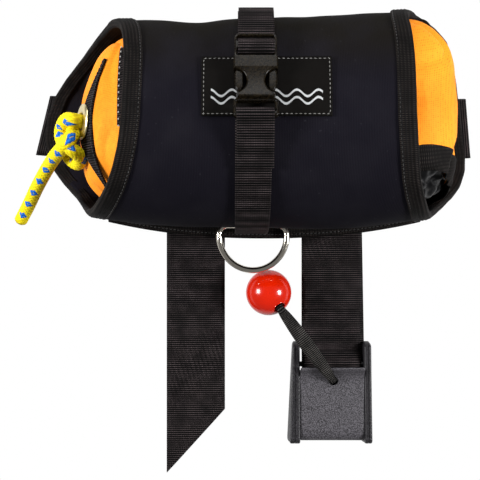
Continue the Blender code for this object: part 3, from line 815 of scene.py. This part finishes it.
def waist_belt():
    """One length of webbing: free tail, fold, run behind the back, fold, and the leg to the cam buckle."""
    left, inner, outer = belt_side(-1)
    tail_y, cut_rise = box("waist_belt")[0].y, 55
    left.append(((inner, tail_y + cut_rise, LEG_Z), (outer, tail_y, LEG_Z)))
    right, inner, outer = belt_side(1)
    bar_y, bar_z = BELT_BAR
    down = [(bar_y + 14, LEG_Z), *arc(bar_y, bar_z, 3.3, -70, -290, 14)]
    back = [(bar_y + 12, LEG_Z + 2.6), (bar_y + 46, LEG_Z + 1.9)]
    for i, (y, z) in enumerate(down + back):
        spread = 3.6 if i < 8 else 0.0
        right.append(((inner, y, z), (outer + spread, y, z)))
    obj = webbing("waist_belt", [*reversed(left), *right], 14, 0.55, upright=on_leg)
    put(obj, "wrap", "webbing", "webbing", "waist_belt")


def keeper():
    """Loop on the back that the waist belt runs through."""
    low, high = box("belt_keeper")
    outline = [
        (low.y, high.z - 2.6), (low.y + 1, 3.2), (low.y + 3.2, 1.25),
        (high.y - 3.2, 1.25), (high.y - 1, 3.4), (high.y, high.z),
    ]
    edges = strap_edges(outline, (low.x + high.x) / 2, (high.x - low.x) / 2)
    obj = webbing("belt_keeper", edges, 30, 0.6, 0.05)
    obj.modifiers["wall"].thickness = 2.3 * MM
    put(obj, "wrap", "binding", "webbing", "belt_keeper")


# ---------------------------------------------------------------- hardware

def clip_matrix():
    """The clip's frame: x along the bag, y up the strap, z out from the wrap."""
    matrix = Matrix.Identity(4)
    matrix.col[1][:3] = CLIP_UP
    matrix.col[2][:3] = CLIP_OUT
    matrix.translation = (STRAP_X, *clip_point(0, 0))
    return matrix


def mirrored(half):
    """A closed outline from its right half, which runs from top to bottom."""
    return half + [(-u, v) for u, v in reversed(half)]


def slot_outline(half, low, high, radius=0.8):
    upper = arc(half - radius, high - radius, radius, 90, 0, 4)
    return mirrored(upper + arc(half - radius, low + radius, radius, 0, -90, 4))


def clip_piece(name, body, outlines, thick, bevel, *nodes):
    obj = outline_plate(name, outlines, thick, bevel)
    put(obj, body, "buckle_plastic", "clip_plastic", *nodes)
    return obj


def receptacle():
    """Collar with a C-shaped window each side, a block under them, and a loop for the webbing."""
    half = arc(13.6, 10.8, 1.2, 90, 0) + [(14.8, 3.4), (14.5, 2.2)]
    half += arc(14.9, -6.5, 8.9, 96, 258, 26) + [(12.3, -16.2), (12.2, -18.2)]
    shell = clip_piece("buckle_female", "wrap", [mirrored(half)], 9.4, 1.1, "buckle_female")
    hollow = Vector((25.8, 26.8, 5.8))
    middle = Matrix.Translation((0, 0.6, 0))
    carve(shell, bmesh.ops.create_cube, clip_matrix() @ middle @ Matrix.Diagonal((*hollow, 1)), size=1)
    half = [(11.4, -15.6), (12.8, -17.6), *arc(12.9, -20.5, 1.9, 50, 0), *arc(12.6, -28.8, 2.2, 0, -90)]
    clip_piece("buckle_loop", "wrap", [mirrored(half), slot_outline(12.75, -27.4, -19.8)], 5.2, 1.2)


def prong():
    """Ladder frame for the webbing, the middle guide that slides into the receptacle, and the side arms."""
    half = arc(10.8, 25.4, 3.4, 90, 0) + [(14.2, 13.2), (12.4, 11.4), (12.4, 5.5), (3.2, 4.5)]
    half += [(2.8, -9.0), (1.6, -10.8)]
    outlines = [mirrored(half), slot_outline(12.5, 23.4, 26.9), slot_outline(12.5, 12.9, 17.6)]
    clip_piece("buckle_male", "clip", outlines, 4.6, 1.0, "buckle_male")
    outline = (
        (9.2, 8.6), (12.0, 8.6), (12.2, 3.0), (13.6, 1.6), (14.3, -2.0), (14.2, -6.0),
        (13.4, -10.0), (12.0, -12.6), (10.2, -13.2), (9.0, -12.4), (8.2, -9.0), (8.4, 0.0),
    )
    for side, label in ((-1, "left"), (1, "right")):
        points = [(side * u, v) for u, v in outline]
        clip_piece(f"buckle_arm_{label}", f"clip_arm_{label}", [points], 4.6, 0.9, f"buckle_arm_{label}")


def ring():
    """D-shaped ring of round wire: straight side up, with rounded corners."""
    centre = pivot("ring_swing")
    wire, corner = 2.5, 7
    half = (RING_HIGH.x - RING_LOW.x) / 2 - wire
    drop = centre.y - RING_LOW.y - wire
    path = arc(half - corner, -corner, corner, 90, 0, 8)
    for x, y in arc(0, 0, 1, 0, -180, 60):
        path.append((half * x, (drop - corner) * y - max(drop - half, corner)))
    path += arc(corner - half, -corner, corner, 180, 90, 8)
    curve = bpy.data.curves.new("d_ring", "CURVE")
    curve.dimensions = "3D"
    curve.bevel_depth = wire
    curve.bevel_resolution = 10
    add_loop(curve, [(centre.x + x, centre.y + y, centre.z) for x, y in path]).use_smooth = True
    put(new_object("d_ring", curve), "ring", "ring_steel", "steel", "d_ring")


def revolved(name, profile, count, place, out, closed=False):
    """A profile of (radius, height) turned round an axis that points out from a place."""
    rows = [[(r * math.cos(a), r * math.sin(a), h) for a in circle(count)] for r, h in profile]
    obj = grid(name, rows, closed, True)
    obj.data.transform(facing(place * MM, out))
    return obj


def ball():
    """Moulded ball with a rounded hole where the cord goes in."""
    hole, lip = 4.6, 1.0
    start = math.asin((hole + lip) / BALL_RADIUS)
    mouth = BALL_RADIUS * math.cos(start)
    profile = [(0.0, -BALL_RADIUS), *arc(0, 0, BALL_RADIUS, -86, 90 - math.degrees(start), 60)]
    profile += arc(hole + lip, mouth - lip, lip, 70, 180, 8)
    profile += [(hole, mouth - 9), (0.2, mouth - 10)]
    obj = revolved("pull_ball", profile, 72, BALL_CENTRE, HOLE_OUT)
    close_ends(obj)
    put(obj, "pull", "ball", "red_gloss", "pull_ball")


def flat_cord():
    """Flattened hollow braid, doubled on itself, from the ball to the hole in the lever."""
    rises = ((-4.5, 0), (0.5, 0), (5.0, 2.2), (8.5, 9), (11, 27), (13.5, 44))
    stops = [CORD_HOLE + Vector((0, 0, up)) + CORD_WAY * way for up, way in rises]
    stops += [
        BALL_CENTRE - CORD_WAY * 26 + Vector((0, 0, 9.5)),
        BALL_CENTRE + HOLE_OUT * 21 - Vector((0, 0, 0.6)),
        BALL_CENTRE + HOLE_OUT * 12,
    ]
    path = resample(curve_through(stops, 14), 0.55)
    rows = []
    for i, (point, tangent) in enumerate(zip(path, tube_frames(path)[0])):
        s = i / (len(path) - 1)
        spread = math.sin(math.pi * clamp((s - 0.12) / 0.80)) ** 0.8 if 0.12 < s < 0.92 else 0.0
        half_wide = (3.1 + 2.8 * spread)
        half_high = (2.3 - 0.7 * spread)
        side = np.cross(tangent, (0, 0, 1))
        if np.linalg.norm(side) < 0.3:
            side = np.cross(tuple(CORD_WAY), (0, 0, 1))
        side /= np.linalg.norm(side)
        up = np.cross(side, tangent)
        row = []
        for a in circle(72):
            across = signed_power(math.cos(a), 0.8)
            strand = abs(math.sin(2.5 * math.pi * across))
            braid = 0.10 * math.sin(i * 2.2 + 3 * math.floor(2.5 * across + 0.5))
            rise = half_high * signed_power(math.sin(a), 0.8) * (0.74 + 0.26 * strand)
            width = half_wide * across + braid * math.cos(a)
            row.append(point + side * width + up * (rise + braid * math.sin(a)))
        rows.append(row)
    put(closed_tube("pull_cord", rows), "pull", "cord", "cord", "pull_cord")


def moulded(name, rows, body, material, *nodes):
    """A closed solid of the cam buckle through equal closed sections."""
    obj = closed_tube(name, rows)
    shade_smooth(obj.data, 38)
    put(obj, body, "cam_plastic", material, *nodes)
    return obj


def bar_section(y, low_x, high_x, low_z, high_z, radius, draft=0.0, groove=()):
    """Closed outline of a bar at y, with rounded upper corners; its foot is wider by the draft."""
    waist = low_z + (high_z - low_z) * 0.6
    points = [(low_x - draft, low_z), (low_x - draft * 0.3, waist)]
    points += arc(low_x + radius, high_z - radius, radius, 180, 90)
    points += [(x, high_z - deep) for x, deep in groove]
    points += arc(high_x - radius, high_z - radius, radius, 90, 0)
    points += [(high_x + draft * 0.3, waist), (high_x + draft, low_z)]
    return [(x, y, z) for x, z in points]


def cam_rail(side, label):
    """One side rail, rounded at its ends and higher at its foot; the left one leans outwards."""
    wide, wear = 6.0, 1.4
    low_x = CAM_LOW.x if side < 0 else CAM_HIGH.x - wide
    rows = []
    for share in np.linspace(0, 1, 60):
        y = CAM_HIGH.y + (CAM_LOW.y - CAM_HIGH.y) * share
        end = min(share, 1 - share) * (CAM_HIGH.y - CAM_LOW.y)
        ease = math.sqrt(clamp(1 - (1 - clamp(end / 4.5)) ** 2, 0.02))
        crest = (11.5 + 6.5 * share**1.3) * (0.25 + 0.75 * ease)
        x0, x1 = low_x + wear * (1 - ease), low_x + wide - wear * (1 - ease)
        if side < 0:
            x0 -= 2.6 * share
        middle, half = (x0 + x1) / 2 + side * 0.3, 0.5
        groove = [(middle + step * half, deep) for step, deep in ((-1, 0), (-0.4, half), (0.4, half), (1, 0))]
        top = CAM_LOW.z + crest
        rows.append(bar_section(y, x0, x1, CAM_LOW.z, top, 1.3 * ease, 1.6 * share, groove))
    moulded(f"cam_rail_{label}", rows, "cam_buckle", "cam_plastic", "cam_frame")


def cam_buckle():
    """Two rails joined by a floor plate and a webbing bar."""
    cam_rail(-1, "left")
    cam_rail(1, "right")
    first, last = CAM_LOW.x + 3, CAM_HIGH.x - 3
    floor = [
        bar_section(y, first, last, CAM_LOW.z, 2.9, 0.5)
        for y in np.linspace(-198, -238, 20)
    ]
    moulded("cam_floor", floor, "cam_buckle", "cam_plastic")
    ring_yz = [(BELT_BAR[0] + 2.2 * math.cos(a), BELT_BAR[1] + 2.2 * math.sin(a)) for a in circle(28)]
    bar = [[(x, y, z) for y, z in ring_yz] for x in np.linspace(first, last, 12)]
    moulded("cam_bar", bar, "cam_buckle", "cam_plastic")


def cam_lever():
    """Thumb plate with a scooped, upturned top edge and a rolled lower end over the pin."""
    pin_y, pin_z = pivot("cam_lever_open")[1:]
    low, high = box("cam_lever")
    half = (high.x - low.x) / 2 + 0.2
    outer = (
        (54.0, 9.6), (53.0, 10.2), (51.5, 9.4), (49.0, 7.0), (45.0, 5.0), (40.0, 4.3), (30.0, 4.6),
        (15.0, 5.6), (4.0, 6.4), (-3.0, 5.9), (-7.6, 3.4), (-9.2, 0.2), (-8.2, -2.4),
    )
    inner = (
        (-4.4, -4.4), (0.0, -5.2), (4.4, -3.6), (8.0, -0.4), (18.0, 1.4), (30.0, 1.2), (40.0, 0.8),
        (46.0, 1.4), (50.6, 4.4), (53.4, 8.2),
    )
    parts = [curve_through([(0, *point) for point in part], 4)[:, 1:] for part in (outer, inner)]
    outline = np.vstack(parts)
    centre = np.array((22, 2.6))
    rows = []
    for share in np.linspace(-1, 1, 48):
        edge = (1 - abs(share)) * half
        worn = 0.10 * max(0.0, 1 - edge) ** 2
        shrunk = centre + (outline - centre) * np.array((1 - worn * 0.12, 1 - worn))
        x = (high.x + low.x) / 2 + half * share
        rows.append([(x, pin_y + y, pin_z + z) for y, z in shrunk])
    # The lever's material is the buckle's plastic made lighter in tone: painted light.
    obj = moulded("cam_lever", rows, "lever", "lever_plastic_painted_light", "cam_lever")
    size = {"segments": 40, "radius1": 3.9, "radius2": 3.9, "depth": 30}
    carve(obj, bmesh.ops.create_cone, Matrix.Translation(CORD_HOLE), cap_ends=True, **size)


# ---------------------------------------------------------------- the throw bag

NOSE = Vector((-142, -13, 64))
DOME_X = -84
DOME_WIDE = 0.8
MOUTH_X = 84
MOUTH_LONG = 53.5
MOUTH_POINT = Vector((98, -25, 135))
MOUTH_NORMAL = Vector((-0.16, 0.93, -0.33)).normalized()
EYE = Vector((-133, -1, 110.5))
EYE_OUT = Vector((-0.88, 0.03, 0.47)).normalized()
# The room between the wrap's surface and the bag's.
ROOM = 6.5
# The end band's upper and lower edges on the dome: (y, x).
BAND_HIGH = (
    (-54, -105), (-46, -110.5), (-37, -115), (-27, -118.5), (-13, -120.5), (1, -121), (18, -118.5),
    (35, -113), (42, -110),
)
BAND_LOW = (
    (-54, -107), (-45, -113), (-38, -119), (-26, -127), (-17, -132), (-8, -133.5), (0, -132.5), (12, -127),
    (36, -114.5), (42, -111.5),
)


def bag_point(share, angle, grow=0.0):
    """A point on the bag: share -1 is its nose, -1 to 0 the dome, 0 to 1 the middle, 1 to 2 the mouth end."""
    s, c = math.sin(angle), math.cos(angle)
    drift = 0.0
    if share < 0:
        turn = -share * math.pi / 2
        x = DOME_X + (NOSE.x - DOME_X - grow) * math.sin(turn)
        factor = max(0.0, math.cos(turn))
        wide = factor**DOME_WIDE
        drift = 1 - factor
    elif share <= 1:
        x = DOME_X + (MOUTH_X - DOME_X) * share
        factor = wide = 1.0
    else:
        turn = (share - 1) * math.pi / 2
        corner = 9 * max(0.0, s) ** 6
        x = MOUTH_X + (MOUTH_LONG + grow - corner) * math.sin(turn) ** 0.7
        factor = max(0.0, math.cos(turn)) ** 0.75
        wide = max(0.0, math.cos(turn)) ** 0.25
    across = half_height(clamp(x, -120, 120), s > 0) - ROOM
    y = (across + grow) * signed_power(s, 2 / BARREL_POWER) * wide
    z = (BARREL_HALF_Z - ROOM + grow) * signed_power(c, 2 / BARREL_POWER) * factor
    return np.array((x, y + NOSE.y * drift, BARREL_Z + z + (NOSE.z - BARREL_Z) * drift))


def puff(point):
    """Soft bulges and a few sharper creases in the bag's cloth."""
    crease = max(0.0, 1 - abs(noise.noise(Vector(point) * 19 * MM + Vector((5, 2, 8)))) * 8)
    bulge = ripple(point, 22, 2.2) + ripple(point, 60, 0.8) + ripple(point, 130, 0.25)
    return bulge - 2.4 * crease


def bag_sheet(name, low, high, rows, columns, grow=0.0):
    """The bag's surface between two shares of bag_point, moved outwards by grow."""
    points = []
    for share in np.linspace(low, high, rows):
        row = [bag_point(share, a, grow + puff(bag_point(share, a, grow))) for a in circle(columns)]
        points.append(row)
    return grid(name, points, closed_cols=True)


def keep_side(obj, point, normal):
    """Cuts a sheet with a plane and keeps the side that the normal points to."""
    with editing(obj.data) as shape:
        bmesh.ops.bisect_plane(
            shape, geom=shape.verts[:] + shape.edges[:] + shape.faces[:],
            plane_co=point * MM, plane_no=-Vector(normal), clear_outer=True,
        )


def bag():
    """The cloth body with its closed dome, the hood at the mouth, its trim, and the gathered collar."""
    body = bag_sheet("bag_body", -0.995, 0.9, 120, 120)
    close_ends(body, lambda point: point.x < DOME_X)
    solidify(body, 1.0, -1)
    put(body, "throw_bag", "bag_cloth", "orange_nylon", "bag_body")
    hood = bag_sheet("bag_hood", 0.88, 1.97, 90, 130, 0.4)
    close_ends(hood, lambda point: point.x > 120)
    keep_side(hood, MOUTH_POINT, MOUTH_NORMAL)
    solidify(hood, 1.0, -1)
    put(hood, "throw_bag", "bag_cloth", "orange_nylon")
    trim = bag_sheet("mouth_trim", 0.92, 1.9, 90, 130, 1.6)
    keep_side(trim, MOUTH_POINT + MOUTH_NORMAL * 1.5, -MOUTH_NORMAL)
    keep_side(trim, MOUTH_POINT - MOUTH_NORMAL * 12.5, MOUTH_NORMAL)
    solidify(trim, 1.2)
    put(trim, "throw_bag", "webbing", "binding", "mouth_trim")
    collar = bag_sheet("mouth_collar", 0.9, 1.93, 130, 220, -7)
    for vertex in collar.data.vertices:
        point = vertex.co
        crease = 1 - abs(noise.noise(point * 48 + Vector((3, 1, 7)))) * 2.4
        fine = 1 - abs(noise.noise(point * 110)) * 2.4
        vertex.co += point.normalized() * (crease * 3.6 + fine * 1.3) * MM
    solidify(collar, 0.6, -1)
    put(collar, "throw_bag", "collar_cloth", "collar_nylon", "mouth_collar")


def hood_tape():
    """Black tape over the seam along the top of the hood and round its corner."""
    edges = []
    for share in np.linspace(1.02, 1.9, 60):
        hump = 3 * math.exp(-(((share - 1.4) / 0.16) ** 2))
        edges.append([bag_point(share, math.radians(a), 2.0 + hump) for a in (98, 83)])
    put(webbing("hood_tape", edges, 8, 0.6, 0.06), "throw_bag", "webbing", "binding")


def dome_x(y, z, grow=0.0):
    """X of the bag's dome at a given y and z."""
    low, high = 0.02, 0.999
    for _ in range(24):
        turn = (low + high) / 2
        factor = math.cos(turn * math.pi / 2)
        drift = 1 - factor
        half_y = half_height(-110, y > 0) - ROOM + grow
        dy = (y - NOSE.y * drift) / half_y * factor ** (1 - DOME_WIDE)
        dz = (z - BARREL_Z - (NOSE.z - BARREL_Z) * drift) / (BARREL_HALF_Z - ROOM + grow)
        size = (abs(dy) ** BARREL_POWER + abs(dz) ** BARREL_POWER) ** (1 / BARREL_POWER)
        low, high = (turn, high) if size < factor else (low, turn)
    return DOME_X + (NOSE.x - DOME_X - grow) * math.sin(low * math.pi / 2)


def dome_height(x, y):
    """Height of the front of the dome at a given x and y."""
    low, high = NOSE.z + 1, BARREL_Z + 68
    for _ in range(24):
        middle = (low + high) / 2
        low, high = (middle, high) if dome_x(y, middle) < x else (low, middle)
    return low


def band_row(y):
    """The end band's lower and upper edge at a given y, as points on the dome."""
    row = []
    for marks in (BAND_LOW, BAND_HIGH):
        ys, xs = zip(*marks)
        x = np.mean([np.interp(y + step, ys, xs) for step in (-6, -3, 0, 3, 6)])
        z = dome_height(x, y)
        row.append(np.array((dome_x(y, z, 2.0), y, z)))
    return row


def end_band():
    """25 mm webbing sewn over the closed end, behind the eye."""
    edges = [band_row(y) - np.array((0.6, 0, 0)) for y in np.linspace(42, -54, 50)]
    obj = webbing("bag_end_band", edges, 14, 0.5, 0.08)
    put(obj, "throw_bag", "webbing", "webbing", "bag_end_band")
    proud = np.array((-1.4, 0, 0.4))
    rows = [band_row(y) for y in np.linspace(40, -52, 40)]
    for name, share in (("low", 0.07), ("high", 0.93)):
        line = [low * (1 - share) + high * share + proud for low, high in rows]
        sew(f"band_stitches_{name}", line, "throw_bag", "webbing", "dark_thread", 3.0, 2.0)


def dome_share(x):
    """The share of bag_point at which the dome reaches x."""
    return -math.asin(clamp((DOME_X - x) / (DOME_X - NOSE.x))) / (math.pi / 2)


def side_strip():
    """A narrow tape sewn round the bag just inside the wrap's left edge, with a row of light stitches."""
    inner, outer = dome_share(-96.0), dome_share(-102.5)
    rows, thread = [], []
    for degrees in np.linspace(-5, 40, 60):
        angle = math.radians(degrees)
        rows.append([bag_point(share, angle, 3.0) for share in (inner, outer)])
        thread.append(bag_point(outer * 0.93, angle, 4.2))
    put(webbing("bag_side_strip", rows, 8, 0.5, 0.06), "throw_bag", "webbing", "webbing")
    sew("side_strip_stitches", thread, "throw_bag", "webbing", "dot_thread", 4.6, 1.5, 0.7)


def eyelet():
    """Rolled brass eyelet, with a dark washer in its hole."""
    profile = [
        (7.2, -7.0), (7.2, -1.2), (8.0, -0.6), (10.5, -0.5), (12.6, -0.5), (13.0, 0.1), (12.4, 0.8),
        (10.8, 1.5), (8.6, 1.9), (7.2, 1.7), (6.3, 1.1), (6.0, 0.2), (6.0, -7.0),
    ]
    put(revolved("grommet", profile, 64, EYE, EYE_OUT, True), "throw_bag", "brass", "brass", "grommet")
    washer = revolved("grommet_washer", [(6.1, -1.2), (3.0, -1.2), (0.4, -1.2)], 40, EYE, EYE_OUT)
    put(washer, "throw_bag", "brass", "collar_nylon", "grommet_washer")


def rope_sweep(name, path, burnt_end=True, step=0.55, around=56):
    """A braided rope: crossing strands raised from the surface, with tracer strands as flecks."""
    path = resample(path, step)
    _, sides, ups = tube_frames(path)
    count = len(path)
    strands, tracer, pitch = 8, 4, 26
    angles = circle(around)
    number = np.arange(count)[:, None]
    turn = 2 * math.pi * number * step / pitch
    right = (angles[None, :] + turn) * strands / (2 * math.pi)
    left = (angles[None, :] - turn) * strands / (2 * math.pi)
    over = (np.floor(right) + np.floor(left)) % 2 < 1
    crown = np.sin(math.pi * (np.where(over, right, left) % 1))
    first, second = np.floor(right + tracer) % strands, np.floor(left + tracer) % strands
    near = (first < 2) & (second < 2)
    far = (first // 2 == 2) & (second // 2 == 2)
    fleck = (near | far) & (crown > 0.15)
    from_end = number[::-1] * step
    reach = np.minimum(number * step, from_end)
    radius = ROPE_RADIUS - 0.35 + 0.42 * crown
    radius = radius * np.sqrt(np.clip(1 - (1 - np.clip(reach / 3, 0, 1)) ** 2, 0.03, 1))
    ring = sides[:, None] * np.cos(angles)[None, :, None] + ups[:, None] * np.sin(angles)[None, :, None]
    obj = closed_tube(name, path[:, None] + ring * radius[:, :, None])
    burnt = np.clip(1 - from_end / 4.5, 0, 1) * burnt_end
    # crown also sets the rope's colour in rope_material, darker between the strands: painted shade.
    for label, values in (("fleck", fleck), ("crown", crown), ("burnt", burnt)):
        layer = obj.data.attributes.new(label, "FLOAT", "POINT")
        layer.data.foreach_set("value", np.broadcast_to(values, (count, around)).astype(float).ravel())
    return obj


def rope():
    """Lead out through the eye, a stopper knot pulled up to it, the tail, and the stowed coil."""
    lead = [EYE + EYE_OUT * way for way in (-14, -5, 2)]
    knot = np.array((
        (-137.5, 4.5, 120), (-144.5, 5.5, 113), (-150.5, -1, 104), (-148.5, -11, 110), (-140, -19, 118),
        (-134, -25, 109), (-138, -30, 98), (-147, -23, 93), (-150, -9, 93), (-144.5, 0, 101),
        (-138.5, -5, 112), (-141, -13.5, 121), (-149, -19.5, 113),
    ))
    tight, pulled = 0.84, (0.0, -3.0, 0.0)
    middle = knot.mean(axis=0)
    knot = middle + pulled + (knot - middle) * tight
    tail = [(-158.5, -28, 97), (-173, -44.5, 80), (-184, -59, 66), (-194, -72, 55)]
    out = rope_sweep("throw_rope", curve_through([*lead, *knot, *tail], 6))
    put(out, "throw_bag", "rope", "rope_yarn", "throw_rope")
    turns, steps = 7, 40
    coil = []
    for i in range(turns * steps):
        a = 2 * math.pi * i / steps
        x = 85 - 150 * i / (turns * steps)
        coil.append((x, 44 * math.cos(a), BARREL_Z + 40 * math.sin(a)))
    put(rope_sweep("throw_rope_coil", coil, False, 1.2, 28), "throw_bag", "rope", "rope_yarn")


def plain_pieces():
    """The frame's pieces inside the bag and the buckle keep their shape and get their finish."""
    for node, material in (
        ("float_foam", "foam"), ("mouth_drawcord", "drawcord"), ("cord_lock_body", "clip_plastic"),
        ("cord_lock_plunger", "clip_plastic"), ("cord_lock_spring", "pin_steel"), ("cam_pin", "pin_steel"),
    ):
        finish(frame["nodes"][node], material)


# ---------------------------------------------------------------- stage

WHITE = (1.0, 1.0, 1.0, 1.0)
FLOOR_HALF = 6000
# Low enough that the clip, the ball and the buckle stay above it at every pose.
FLOOR_Z = -160
WORLD_DIM = 0.17
AIM = Vector((0, -0.05, 0.05))
# Name, place, size and power. The lights and the camera are in metres and watts.
SOFTBOXES = (
    ("softbox_left", (-1.1, 0.05, 0.75), 0.36, 21.0),
    ("softbox_right", (1.05, -0.08, 0.80), 0.36, 21.0),
    ("softbox_top", (0.0, 1.1, 0.9), 0.8, 10.0),
)
CAMERA_PLACE = (-0.020, -0.086, 0.661)
CAMERA_LENS = 57.5


def lit_apart(tree, output, seen, lights):
    """Feeds an output from one shader where the camera looks and another where light bounces."""
    path = tree.nodes.new("ShaderNodeLightPath")
    mix = tree.nodes.new("ShaderNodeMixShader")
    for source, socket in (
        (path.outputs["Is Camera Ray"], mix.inputs[0]), (lights.outputs[0], mix.inputs[1]),
        (seen.outputs[0], mix.inputs[2]), (mix.outputs[0], tree.nodes[output].inputs[0]),
    ):
        tree.links.new(source, socket)


def stage_floor():
    mesh = bpy.data.meshes.new("floor")
    corners = [(u * FLOOR_HALF, v * FLOOR_HALF, FLOOR_Z) for u, v in ((-1, -1), (1, -1), (1, 1), (-1, 1))]
    mesh.from_pydata(corners, [], [(0, 1, 2, 3)])
    shade = Shade("floor", 0.9)
    shade.colour((0.5, 0.5, 0.5))
    lit_apart(shade.tree, "Material Output", shade.node("ShaderNodeEmission", {0: WHITE[:3]}), shade.bsdf)
    mesh.materials.append(MATERIALS["floor"])
    new_object("floor", mesh)


def stage_world():
    world = bpy.context.scene.world or bpy.data.worlds.new("studio")
    bpy.context.scene.world = world
    world.use_nodes = True
    tree = world.node_tree
    dim = tree.nodes["Background"]
    bright = tree.nodes.new("ShaderNodeBackground")
    for backdrop in (dim, bright):
        backdrop.inputs[0].default_value = WHITE
    dim.inputs[1].default_value = WORLD_DIM
    lit_apart(tree, "World Output", bright, dim)


def stage_lights_and_camera():
    for name, place, size, power in SOFTBOXES:
        lamp = bpy.data.lights.new(name, "AREA")
        lamp.size = size
        lamp.energy = power
        obj = link(bpy.data.objects.new(name, lamp))
        obj.location = place
        obj.rotation_euler = (AIM - Vector(place)).to_track_quat("-Z", "Y").to_euler()
    lens = bpy.data.cameras.new("camera")
    lens.lens = CAMERA_LENS
    lens.sensor_width = 36.0
    camera = link(bpy.data.objects.new("camera", lens))
    camera.location = CAMERA_PLACE
    bpy.context.scene.camera = camera
    bpy.context.scene.view_settings.view_transform = "Standard"


panel("front", -SEAM_DEG, SEAM_DEG, 110, 90)
panel("back", SEAM_DEG, 360 - SEAM_DEG, 70, 110)
edge_binding(-1, "left")
edge_binding(1, "right")
seam_flange()
label()
lower_strap()
upper_strap()
ring_tab()
waist_belt()
keeper()
receptacle()
prong()
ring()
ball()
flat_cord()
cam_buckle()
cam_lever()
bag()
hood_tape()
end_band()
side_strip()
eyelet()
rope()
plain_pieces()
stage_floor()
stage_world()
stage_lights_and_camera()
